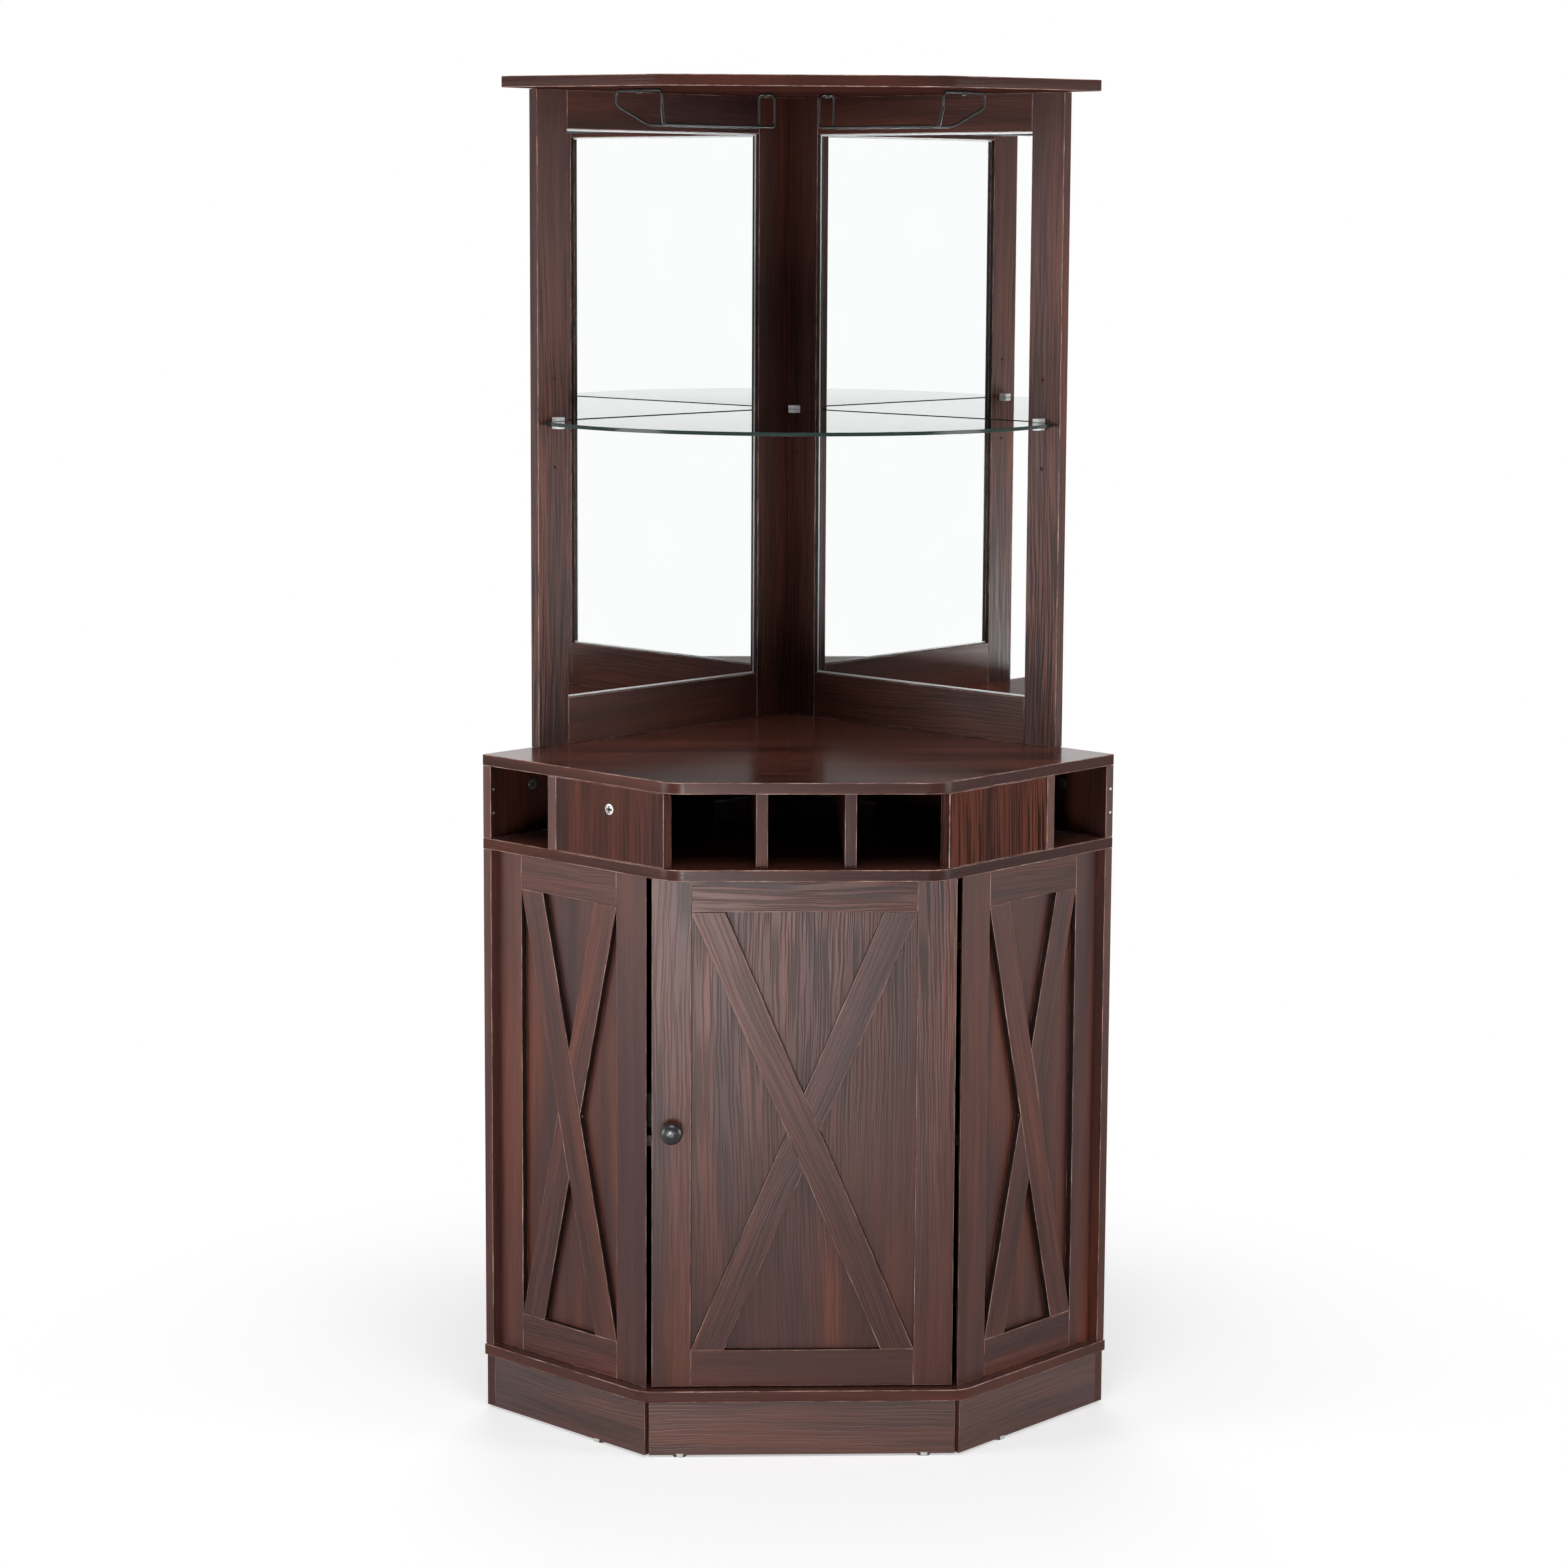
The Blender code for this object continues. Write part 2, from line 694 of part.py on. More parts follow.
def add_hinge_cup(word, level):
    """Cup, its flange with two screws, and the pin riveted across it."""
    flange_back = door_back + FIT_GAP
    flange_face = flange_back + FLANGE_THICKNESS
    outline = stadium(cup_x, level, CUP_RADIUS + FLANGE_MARGIN, FLANGE_HALF_HEIGHT)
    name = f"hinge_cup_{word}"
    mesh = slab_mesh(name, on_front, outline, flange_back, flange_face)
    cup = add_object(name, mesh, "steel")
    body = rod_mesh(f"{name}_body", (cup_x, flange_back + FLANGE_THICKNESS / 2, level),
                    (cup_x, door_back - CUP_DEPTH, level), CUP_RADIUS)
    join(cup, add_tool(f"{name}_body", body))
    hollow = rod_mesh(f"{name}_hollow", (cup_x, flange_face + OVERRUN, level),
                      (cup_x, door_back - CUP_DEPTH + CUP_WALL, level), CUP_RADIUS - CUP_WALL)
    cut(cup, add_tool(f"{name}_hollow", hollow))
    outer_edge = pin_x - cup_x + PIN_RADIUS
    half_pin = math.sqrt(CUP_RADIUS ** 2 - outer_edge ** 2) - FIT_GAP
    pin = rod_mesh(f"{name}_pin", (pin_x, pin_y, level - half_pin),
                   (pin_x, pin_y, level + half_pin), PIN_RADIUS)
    join(cup, add_tool(f"{name}_pin", pin))
    for number, end in ((1, -1), (2, 1)):
        height = level + end * CUP_SCREW_SPACING / 2
        head = rod_mesh(f"{name}_screw_{number}",
                        (cup_x, flange_face - FLANGE_THICKNESS / 2, height),
                        (cup_x, flange_face + SCREW_HEAD_HEIGHT, height), CUP_SCREW_RADIUS)
        join(cup, add_tool(f"{name}_screw_{number}", head))


def strip_outline(points, thickness):
    """Plan outline of a bent strip of even thickness."""
    left_edge = []
    right_edge = []
    for index, point in enumerate(points):
        here = Vector(point)
        before = Vector(points[max(index - 1, 0)])
        after = Vector(points[min(index + 1, len(points) - 1)])
        into = (here - before).normalized() if index else (after - here).normalized()
        out = (after - here).normalized() if index < len(points) - 1 else into
        tangent = (into + out).normalized()
        normal = Vector((-tangent.y, tangent.x))
        half = thickness / 2 / normal.dot(Vector((-out.y, out.x)))
        left_edge.append(tuple(here + normal * half))
        right_edge.append(tuple(here - normal * half))
    return left_edge + right_edge[::-1]


def add_hinge_arm(word, level):
    """Gooseneck arm from the pin, out of the cup and along the side panel."""
    half_opening = DOOR_OPENING / 2
    end_inward = inward_at_x(half_opening, panel_back)
    lane = panel_back - ARM_STANDOFF
    near = wall_xy(RIGHT, lane, end_inward - ARM_START)
    far = wall_xy(RIGHT, lane, end_inward - ARM_START - ARM_LENGTH)
    neck_x = pin_x - ARM_NECK_OFFSET
    points = [(pin_x - PIN_HOLE_RADIUS, pin_y), (neck_x, pin_y),
              (neck_x, pin_y + ARM_NECK_RISE), near, far]
    name = f"hinge_arm_{word}"
    low = level - ARM_WIDTH / 2
    high = level + ARM_WIDTH / 2
    arm = add_object(name, prism_mesh(name, strip_outline(points, ARM_THICKNESS), low, high),
                     "steel")
    knuckle = rod_mesh(f"{name}_knuckle", (pin_x, pin_y, low), (pin_x, pin_y, high),
                       KNUCKLE_RADIUS)
    join(arm, add_tool(f"{name}_knuckle", knuckle))
    bore = rod_mesh(f"{name}_bore", (pin_x, pin_y, low - OVERRUN), (pin_x, pin_y, high + OVERRUN),
                    PIN_HOLE_RADIUS)
    cut(arm, add_tool(f"{name}_bore", bore))
    plate_far = end_inward - PLATE_START
    outline = rectangle(plate_far - PLATE_LENGTH, plate_far, level - PLATE_HEIGHT / 2,
                        level + PLATE_HEIGHT / 2)
    face = panel_back - FIT_GAP - PLATE_THICKNESS
    name = f"hinge_plate_{word}"
    mesh = slab_mesh(name, on_return(RIGHT), outline, panel_back - FIT_GAP, face)
    plate = add_object(name, mesh, "steel")
    for number, end in ((1, -1), (2, 1)):
        height = level + end * PLATE_SCREW_SPACING / 2
        across = plate_far - PLATE_LENGTH / 2
        inner = wall_xy(RIGHT, face + PLATE_THICKNESS / 2, across)
        outer = wall_xy(RIGHT, face - SCREW_HEAD_HEIGHT, across)
        head = rod_mesh(f"{name}_screw_{number}", (*inner, height), (*outer, height),
                        CUP_SCREW_RADIUS)
        join(plate, add_tool(f"{name}_screw_{number}", head))


def add_cubbies():
    """End cubbies beside the walls, fillers, and three cubbies at the front."""
    low = shelf_top + FIT_GAP
    high = counter_bottom - FIT_GAP
    face = WALL_SIDE - EDGE_SETBACK
    divider_start = BOARD + END_CUBBY_WIDTH
    divider_end = divider_start + BOARD
    filler_end = inward_at_y(counter_front, WALL_SIDE) - FILLER_FRONT_SETBACK
    for side, word in SIDE_NAMES.items():
        add_wall_board(f"cubby_divider_{word}", side, face - END_DIVIDER_LENGTH, face, low, high,
                       divider_start, divider_end)
        add_wall_board(f"cubby_filler_{word}", side, face - BOARD, face, low, high,
                       divider_end + FIT_GAP, filler_end)
        centre = side * FRONT_DIVIDER_PITCH / 2
        start = counter_front + FRONT_DIVIDER_SETBACK
        outline = rectangle(centre - BOARD / 2, centre + BOARD / 2, start,
                            start + FRONT_DIVIDER_LENGTH)
        add_board(f"front_divider_{word}", outline, low, high)
    add_cam_lock(face)


def add_cam_lock(face):
    """Quarter-turn lock let into the left filler."""
    across = inward_at_y(counter_front, WALL_SIDE) - CAM_FROM_CORNER
    level = counter_bottom - CAM_DROP
    mouth = (*wall_xy(LEFT, face, across), level)
    floor = (*wall_xy(LEFT, face - CAM_DEPTH, across), level)
    bore_mouth = (*wall_xy(LEFT, face + OVERRUN, across), level)
    bore_floor = (*wall_xy(LEFT, face - CAM_DEPTH - FIT_GAP, across), level)
    bore = rod_mesh("cam_bore", bore_mouth, bore_floor, CAM_RADIUS + FIT_GAP)
    cut(bpy.data.objects["cubby_filler_left"], add_tool("cam_bore", bore))
    add_object("filler_cam_lock", rod_mesh("filler_cam_lock", mouth, floor, CAM_RADIUS), "steel")


def hutch_edges(side):
    """Along distances of the mirror opening: inner and outer edge."""
    inner = INNER_POST_WIDTH + (BOARD if side == LEFT else 0.0)
    return inner, HUTCH_SIDE - POST_WIDTH


def add_hutch_wall(side, word):
    """Posts and rails with a pocket behind for the mirror and its backing."""
    low = counter_top + FIT_GAP
    high = top_bottom - FIT_GAP
    inner, outer = hutch_edges(side)
    opening_low = counter_top + BOTTOM_RAIL_HEIGHT
    opening_high = top_bottom - TOP_RAIL_HEIGHT
    boards = [
        add_wall_board(f"hutch_{word}_outer_post", side, outer, HUTCH_SIDE, low, high),
        add_wall_board(f"hutch_{word}_inner_post", side, wall_start(side), inner, low, high),
        add_wall_board(f"hutch_{word}_bottom_rail", side, inner + FIT_GAP, outer - FIT_GAP, low,
                       opening_low),
        add_wall_board(f"hutch_{word}_top_rail", side, inner + FIT_GAP, outer - FIT_GAP,
                       opening_high, high),
    ]
    pocket_face = BOARD - MIRROR_REVEAL
    pocket = rectangle(inner - MIRROR_OVERLAP, outer + MIRROR_OVERLAP,
                       opening_low - MIRROR_OVERLAP, opening_high + MIRROR_OVERLAP)
    tool = add_tool(f"hutch_{word}_pocket",
                    slab_mesh(f"hutch_{word}_pocket", on_wall(side), pocket, -OVERRUN,
                              pocket_face))
    for board in boards:
        cut(board, tool)
    seat = shrink((inner - MIRROR_OVERLAP, outer + MIRROR_OVERLAP,
                   opening_low - MIRROR_OVERLAP, opening_high + MIRROR_OVERLAP), FIT_GAP)
    mirror_face = pocket_face - FIT_GAP
    mirror_back = mirror_face - MIRROR_THICKNESS
    backing_face = mirror_back - FIT_GAP
    mesh = slab_mesh(f"mirror_{word}", on_wall(side), rectangle(*seat), mirror_face, mirror_back)
    add_object(f"mirror_{word}", mesh, "mirror")
    mesh = slab_mesh(f"mirror_backing_{word}", on_wall(side), rectangle(*seat), backing_face,
                     backing_face - BACKING_THICKNESS)
    add_object(f"mirror_backing_{word}", mesh, "backing")


def glass_outline():
    """Corner shelf with a bowed front through both tips and the reach."""
    start = BOARD + GLASS_WALL_GAP
    end = HUTCH_SIDE - GLASS_END_INSET
    tip_x, tip_y = wall_xy(RIGHT, end, start)
    front = corner_y - GLASS_REACH
    centre = (tip_x ** 2 + tip_y ** 2 - front ** 2) / (2 * (tip_y - front))
    radius = centre - front
    first = math.atan2(tip_y - centre, tip_x)
    last = -math.pi - first
    outline = [wall_xy(RIGHT, start, start)]
    for step in range(GLASS_ARC_STEPS + 1):
        angle = first + (last - first) * step / GLASS_ARC_STEPS
        outline.append((radius * math.cos(angle), centre + radius * math.sin(angle)))
    return outline


def add_glass_shelf():
    bottom = counter_top + GLASS_RISE
    top = bottom + GLASS_THICKNESS
    mesh = prism_mesh("glass_shelf", glass_outline(), bottom, top)
    add_object("glass_shelf", mesh, "glass")
    tip_along = HUTCH_SIDE - GLASS_END_INSET - SUPPORT_END_INSET
    middle = (bottom + top) / 2
    add_support("shelf_support_left", LEFT, tip_along, middle, "hutch_left_outer_post")
    add_support("shelf_support_right", RIGHT, tip_along, middle, "hutch_right_outer_post")
    add_support("shelf_support_corner", RIGHT, SUPPORT_CORNER_DISTANCE, middle,
                "hutch_right_inner_post")


def add_support(name, side, along, level, post_name):
    """Clip that grips the glass edge and plugs into the wall, with spare holes above and below."""
    post = bpy.data.objects[post_name]
    reach = SUPPORT_PIN_LENGTH + FIT_GAP
    for number, shift in enumerate((-SUPPORT_HOLE_PITCH, 0.0, SUPPORT_HOLE_PITCH), 1):
        height = level + shift
        mouth = (*wall_xy(side, along, BOARD + OVERRUN), height)
        floor = (*wall_xy(side, along, BOARD - reach), height)
        bore = rod_mesh(f"{name}_hole_{number}", mouth, floor, SUPPORT_PIN_RADIUS + FIT_GAP)
        cut(post, add_tool(f"{name}_hole_{number}", bore))
    back = BOARD + FIT_GAP
    half = SUPPORT_WIDTH / 2
    slot = GLASS_THICKNESS / 2 + FIT_GAP
    tall = slot + SUPPORT_JAW
    place = on_return(side)
    outline = [(back, level - tall), (back + SUPPORT_DEPTH, level - tall),
               (back + SUPPORT_DEPTH, level - slot), (back + SUPPORT_WALL, level - slot),
               (back + SUPPORT_WALL, level + slot), (back + SUPPORT_DEPTH, level + slot),
               (back + SUPPORT_DEPTH, level + tall), (back, level + tall)]
    clip = add_object(name, slab_mesh(name, place, outline, along - half, along + half), "plastic")
    tip = (*wall_xy(side, along, BOARD - SUPPORT_PIN_LENGTH), level)
    root = (*wall_xy(side, along, back + SUPPORT_WALL / 2), level)
    join(clip, add_tool(f"{name}_pin", rod_mesh(f"{name}_pin", tip, root, SUPPORT_PIN_RADIUS)))


def bend_corners(points, radius, steps):
    """Closed path with each corner replaced by a smooth bend."""
    bent = []
    count = len(points)
    for index, point in enumerate(points):
        corner = Vector(point)
        before = Vector(points[index - 1])
        after = Vector(points[(index + 1) % count])
        start = corner + (before - corner).normalized() * radius
        end = corner + (after - corner).normalized() * radius
        for step in range(steps + 1):
            share = step / steps
            first = start.lerp(corner, share)
            second = corner.lerp(end, share)
            bent.append(first.lerp(second, share))
    return bent


def loop_tube_mesh(name, path, radius, sides):
    """Tube along a closed path, with rings that turn as little as they can."""
    count = len(path)
    tangents = [(path[(index + 1) % count] - path[index - 1]).normalized()
                for index in range(count)]
    normal = tangents[0].orthogonal().normalized()
    normals = [normal]
    for before, after in zip(tangents, tangents[1:]):
        normal = before.rotation_difference(after) @ normal
        normals.append(normal)
    closing = tangents[-1].rotation_difference(tangents[0]) @ normals[-1]
    twist = normals[0].angle(closing)
    if normals[0].cross(closing).dot(tangents[0]) > 0:
        twist = -twist
    mesh = bpy.data.meshes.new(name)
    shape = bmesh.new()
    rings = []
    for index, centre in enumerate(path):
        untwist = Matrix.Rotation(twist * index / count, 3, tangents[index])
        ring = []
        for step in range(sides):
            spin = Matrix.Rotation(math.tau * step / sides, 3, tangents[index])
            offset = spin @ untwist @ normals[index] * radius
            ring.append(shape.verts.new(centre + offset))
        rings.append(ring)
    for index, ring in enumerate(rings):
        following = rings[(index + 1) % count]
        for step in range(sides):
            beside = (step + 1) % sides
            shape.faces.new((ring[step], ring[beside], following[beside], following[step]))
    bmesh.ops.recalc_face_normals(shape, faces=shape.faces)
    shape.to_mesh(mesh)
    shape.free()
    return shade_round(mesh)


def add_rack(side, word):
    """One bent wire: two rails, flared front ends, and bars screwed under the top."""
    bar_level = top_bottom - FIT_GAP - WIRE_RADIUS
    rail_level = bar_level - RACK_HEIGHT
    front = RACK_REAR + RACK_RAIL_LENGTH
    mouth = front + RACK_FLARE_FORWARD
    half_gap = RACK_GAP / 2
    half_mouth = half_gap + RACK_FLARE_SIDE
    knee = rail_level + RACK_FLARE_RISE
    half_path = [(RACK_REAR, half_gap, bar_level), (RACK_REAR, half_gap, rail_level),
                 (front, half_gap, rail_level), (mouth, half_mouth, knee),
                 (mouth, half_mouth, bar_level)]
    path = half_path + [(along, -aside, level) for along, aside, level in reversed(half_path)]
    points = [(*wall_xy(side, along, RACK_OFFSET + aside), level) for along, aside, level in path]
    name = f"glass_rack_{word}"
    bent = bend_corners(points, RACK_BEND, 4)
    rack = add_object(name, loop_tube_mesh(name, bent, WIRE_RADIUS, WIRE_SIDES), "wire")
    for part, along in (("rear", RACK_REAR), ("front", mouth)):
        tab_name = f"{name}_{part}_tab"
        outline = [wall_xy(side, along + TAB_WIDTH / 2 * forward,
                           RACK_OFFSET + TAB_LENGTH / 2 * aside)
                   for forward, aside in ((-1, -1), (1, -1), (1, 1), (-1, 1))]
        top = bar_level + WIRE_RADIUS / 2
        tab = prism_mesh(tab_name, outline, top - TAB_THICKNESS, top)
        join(rack, add_tool(tab_name, tab))
        centre = wall_xy(side, along, RACK_OFFSET)
        head = rod_mesh(f"{tab_name}_screw", (*centre, bar_level),
                        (*centre, bar_level - TAB_SCREW_HEIGHT), TAB_SCREW_RADIUS)
        join(rack, add_tool(f"{tab_name}_screw", head))


def hang_door():
    """The door's pieces hang on an empty that stands on the hinge line."""
    pivot = bpy.data.objects.new("door_pivot", None)
    pivot.location = (pin_x, pin_y, (door_bottom + door_top) / 2)
    bpy.context.scene.collection.objects.link(pivot)
    for name in ("door_panel", "door_frame", "door_brace_long", "door_brace_cross", "knob",
                 "hinge_cup_upper", "hinge_cup_lower", "strike_plate"):
        piece = bpy.data.objects[name]
        piece.parent = pivot
        piece.matrix_parent_inverse = Matrix.Translation(pivot.location).inverted()


def build_cabinet():
    clear_scene()
    add_five_sided_boards()
    add_plinth()
    add_lower_walls()
    add_side_faces()
    add_inner_shelf()
    add_door()
    add_knob()
    add_catch()
    for word, level in hinge_levels.items():
        add_hinge_cup(word, level)
        add_hinge_arm(word, level)
    add_cubbies()
    for side, word in SIDE_NAMES.items():
        add_hutch_wall(side, word)
    add_glass_shelf()
    for side, word in SIDE_NAMES.items():
        add_rack(side, word)
    hang_door()


build_cabinet()
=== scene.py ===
import json
import math
import zlib

import bmesh
import bpy
from mathutils import Matrix, Vector

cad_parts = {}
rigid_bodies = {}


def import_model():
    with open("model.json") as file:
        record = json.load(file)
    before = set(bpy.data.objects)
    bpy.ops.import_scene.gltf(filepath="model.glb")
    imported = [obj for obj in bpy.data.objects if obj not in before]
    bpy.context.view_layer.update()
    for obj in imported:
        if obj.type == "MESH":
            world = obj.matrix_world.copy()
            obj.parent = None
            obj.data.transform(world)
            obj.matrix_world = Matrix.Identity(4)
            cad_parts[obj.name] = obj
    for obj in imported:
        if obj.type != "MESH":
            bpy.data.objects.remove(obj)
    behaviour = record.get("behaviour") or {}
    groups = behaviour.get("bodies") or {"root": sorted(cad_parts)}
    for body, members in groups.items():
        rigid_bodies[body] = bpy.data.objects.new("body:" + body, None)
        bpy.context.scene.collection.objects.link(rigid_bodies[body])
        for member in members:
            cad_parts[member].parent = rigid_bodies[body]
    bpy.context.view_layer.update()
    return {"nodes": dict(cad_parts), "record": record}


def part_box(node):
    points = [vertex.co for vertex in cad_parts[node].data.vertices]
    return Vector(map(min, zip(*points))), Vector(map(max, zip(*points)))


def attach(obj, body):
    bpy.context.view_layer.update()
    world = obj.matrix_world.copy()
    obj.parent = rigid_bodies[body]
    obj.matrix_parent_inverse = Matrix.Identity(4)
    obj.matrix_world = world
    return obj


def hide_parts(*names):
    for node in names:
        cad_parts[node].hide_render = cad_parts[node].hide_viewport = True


# The scene starts empty
for item in list(bpy.data.objects):
    bpy.data.objects.remove(item, do_unlink=True)

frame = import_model()

# Camera fitted to the photograph, in metres, radians and pixels
CAMERA_PLACE = (-0.2026, -4.9680, 1.6340)
CAMERA_YAW = 0.0372
CAMERA_PITCH = 0.1352
CAMERA_ROLL = 0.0053
CAMERA_FOCAL_PIXELS = 3680.35
CAMERA_SHIFT_Y = -0.05
PHOTO_PIXELS = 1568
SENSOR_MM = 36.0

# Sizes in metres that the solids also have; along and inward are measured from the room walls
BOARD = 0.015
OVERLAY = 0.009
FIT_GAP = 0.0003
STRIP_JOINT = 0.0002
SIDE_FACE_ALONG = 0.586
SIDE_WALL_STILE = 0.045
SIDE_FRONT_STILE = 0.0555
HALF_OPENING = 0.205
DOOR_STILE = 0.051
WINDOW_LOW = 0.141
WINDOW_HIGH = 0.727
WIRE_RADIUS = 0.002

LEFT, RIGHT = -1, 1
SIDES = {LEFT: "left", RIGHT: "right"}
DIAGONAL = math.sqrt(0.5)
UP = Vector((0, 0, 1))
ACROSS = Vector((1, 0, 0))
BACKWARD = Vector((0, 1, 0))
corner_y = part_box("counter_top")[1][1]


def wall_xy(side, along, inward):
    """Plan point by its distances along and off one room wall."""
    x = side * (along - inward) * DIAGONAL
    return (x, corner_y - (along + inward) * DIAGONAL)


def wall_along(side):
    """Unit vector along a room wall, away from the corner."""
    return Vector((side * DIAGONAL, -DIAGONAL, 0))


def wall_inward(side):
    """Unit vector off a room wall, into the cabinet."""
    return Vector((-side * DIAGONAL, -DIAGONAL, 0))


# Node materials

class Nodes:
    """Small helper that adds and links shader nodes of a material or a world."""

    def __init__(self, name, world=None):
        self.material = world or bpy.data.materials.new(name)
        self.material.use_nodes = True
        self.tree = self.material.node_tree
        self.shader = self.tree.nodes.get("Principled BSDF")

    def add(self, kind, **settings):
        node = self.tree.nodes.new(kind)
        for key, value in settings.items():
            setattr(node, key, value)
        return node

    def link(self, source, target):
        self.tree.links.new(source, target)

    def math(self, operation, first, second=None, third=None, clamp=False):
        node = self.add("ShaderNodeMath", operation=operation, use_clamp=clamp)
        for socket, value in zip(node.inputs, (first, second, third)):
            if value is None:
                continue
            if isinstance(value, (int, float)):
                socket.default_value = value
            else:
                self.link(value, socket)
        return node.outputs[0]

    def scaled(self, vector, scale):
        node = self.add("ShaderNodeVectorMath", operation="MULTIPLY")
        self.link(vector, node.inputs[0])
        node.inputs[1].default_value = scale
        return node.outputs[0]

    def noise(self, vector, detail=2.0, roughness=0.5, distortion=0.0, scale=1.0):
        node = self.add("ShaderNodeTexNoise")
        node.inputs["Scale"].default_value = scale
        node.inputs["Detail"].default_value = detail
        node.inputs["Roughness"].default_value = roughness
        node.inputs["Distortion"].default_value = distortion
        self.link(vector, node.inputs["Vector"])
        return node.outputs["Fac"]

    def spread(self, value, low, high, to_low=0.0, to_high=1.0, kind="LINEAR"):
        node = self.add("ShaderNodeMapRange", interpolation_type=kind)
        node.inputs["From Min"].default_value = low
        node.inputs["From Max"].default_value = high
        node.inputs["To Min"].default_value = to_low
        node.inputs["To Max"].default_value = to_high
        self.link(value, node.inputs["Value"])
        return node.outputs[0]

    def ramp(self, value, stops):
        node = self.add("ShaderNodeValToRGB")
        band = node.color_ramp
        while len(band.elements) < len(stops):
            band.elements.new(0.5)
        for element, (place, colour) in zip(band.elements, stops):
            element.position = place
            element.color = (*colour, 1.0)
        self.link(value, node.inputs[0])
        return node.outputs[0]

    def mix(self, share, first, second, blend="MIX"):
        node = self.add("ShaderNodeMix", data_type="RGBA", blend_type=blend)
        for socket, value in ((node.inputs[0], share), (node.inputs[6], first),
                              (node.inputs[7], second)):
            if isinstance(value, (int, float)):
                socket.default_value = value
            elif isinstance(value, tuple):
                socket.default_value = (*value, 1.0)
            else:
                self.link(value, socket)
        return node.outputs[2]

    def object_place(self):
        return self.add("ShaderNodeTexCoord").outputs["Object"]

    def film(self, layer="grain"):
        """Coordinates laid on the mesh by lay_grain or lay_pores."""
        return self.add("ShaderNodeUVMap", uv_map=layer).outputs[0]

    def film_noise(self, film, waves):
        """Noise stretched along the grain; waves is one of the noises listed below."""
        across, along, detail, roughness = waves
        return self.noise(self.scaled(film, (across, along, 1.0)), detail, roughness)

    def swayed(self, film, noise, reach):
        """Film coordinates pushed across the grain, by half of reach at most."""
        push = self.add("ShaderNodeCombineXYZ")
        self.link(self.math("MULTIPLY", self.math("SUBTRACT", noise, 0.5), reach), push.inputs[0])
        moved = self.add("ShaderNodeVectorMath", operation="ADD")
        self.link(film, moved.inputs[0])
        self.link(push.outputs[0], moved.inputs[1])
        return moved.outputs[0]

    def paint(self, value, stops):
        """Colour ramp on the shader's colour."""
        self.link(self.ramp(value, stops), self.shader.inputs["Base Color"])

    def roughen(self, value, rough_low, rough_high, low=0.30, high=0.70):
        """Roughness that follows a noise."""
        self.link(self.spread(value, low, high, rough_low, rough_high),
                  self.shader.inputs["Roughness"])

    def bump(self, height, strength, distance):
        node = self.add("ShaderNodeBump")
        node.inputs["Strength"].default_value = strength
        node.inputs["Distance"].default_value = distance
        self.link(height, node.inputs["Height"])
        self.link(node.outputs[0], self.shader.inputs["Normal"])

    def set(self, **values):
        for key, value in values.items():
            self.shader.inputs[key.replace("_", " ")].default_value = value


# Noises of the wood: waves a metre across and along the grain, detail, roughness
WARP_WAVES = (5.0, 1.8, 1.0, 0.5)
RIPPLE_WAVES = (48.0, 17.0, 1.0, 0.5)
FIGURE_WAVES = (30.0, 1.3, 4.0, 0.55)
CALM_FIGURE_WAVES = (30.0, 1.3, 1.0, 0.55)
FLAME_WAVES = (21.0, 1.9, 2.0, 0.4)
SMOKE_WAVES = (13.0, 1.3, 2.0, 0.4)
RING_WAVES = (130.0, 2.2, 2.0, 0.5)
PORE_WAVES = (410.0, 7.0, 0.0, 0.5)
FIBRE_WAVES = (900.0, 26.0, 1.0, 0.5)
PRESSED_WAVES = (4.5, 1.9, 1.0, 0.5)
WEAR_AND_HIGHLIGHT_WAVES = (40.0, 18.0, 4.0, 0.7)
EDGE_SHADE_WAVES = (500.0, 30.0, 2.0, 0.5)
# Full sway across the grain in metres: of all of it, and of the pores on top
WARP_REACH = 0.034
RIPPLE_REACH = 0.0055

# Colours of the laminate
ESPRESSO_DARK = (0.0400, 0.0140, 0.0110)
ESPRESSO = (0.0740, 0.0240, 0.0170)
ESPRESSO_PALE = (0.1120, 0.0350, 0.0228)
ORANGE = (0.165, 0.0465, 0.0258)
SMOKY = (0.048, 0.0225, 0.0235)

# Strengths of the warm streaks, of the smoky bands and of the pores' dark and pale sides, which in
# part paint their shaded and lit sides, the rings' contrast as a share of the fibre's, and the
# depth of the pores in metres
FLAME_SHARE = 0.60
SMOKE_SHARE = 0.70
PORE_DARK = 0.52
PORE_PALE = 0.22
RING_TO_FIBRE = 0.8
PORE_DEPTH = 0.0005


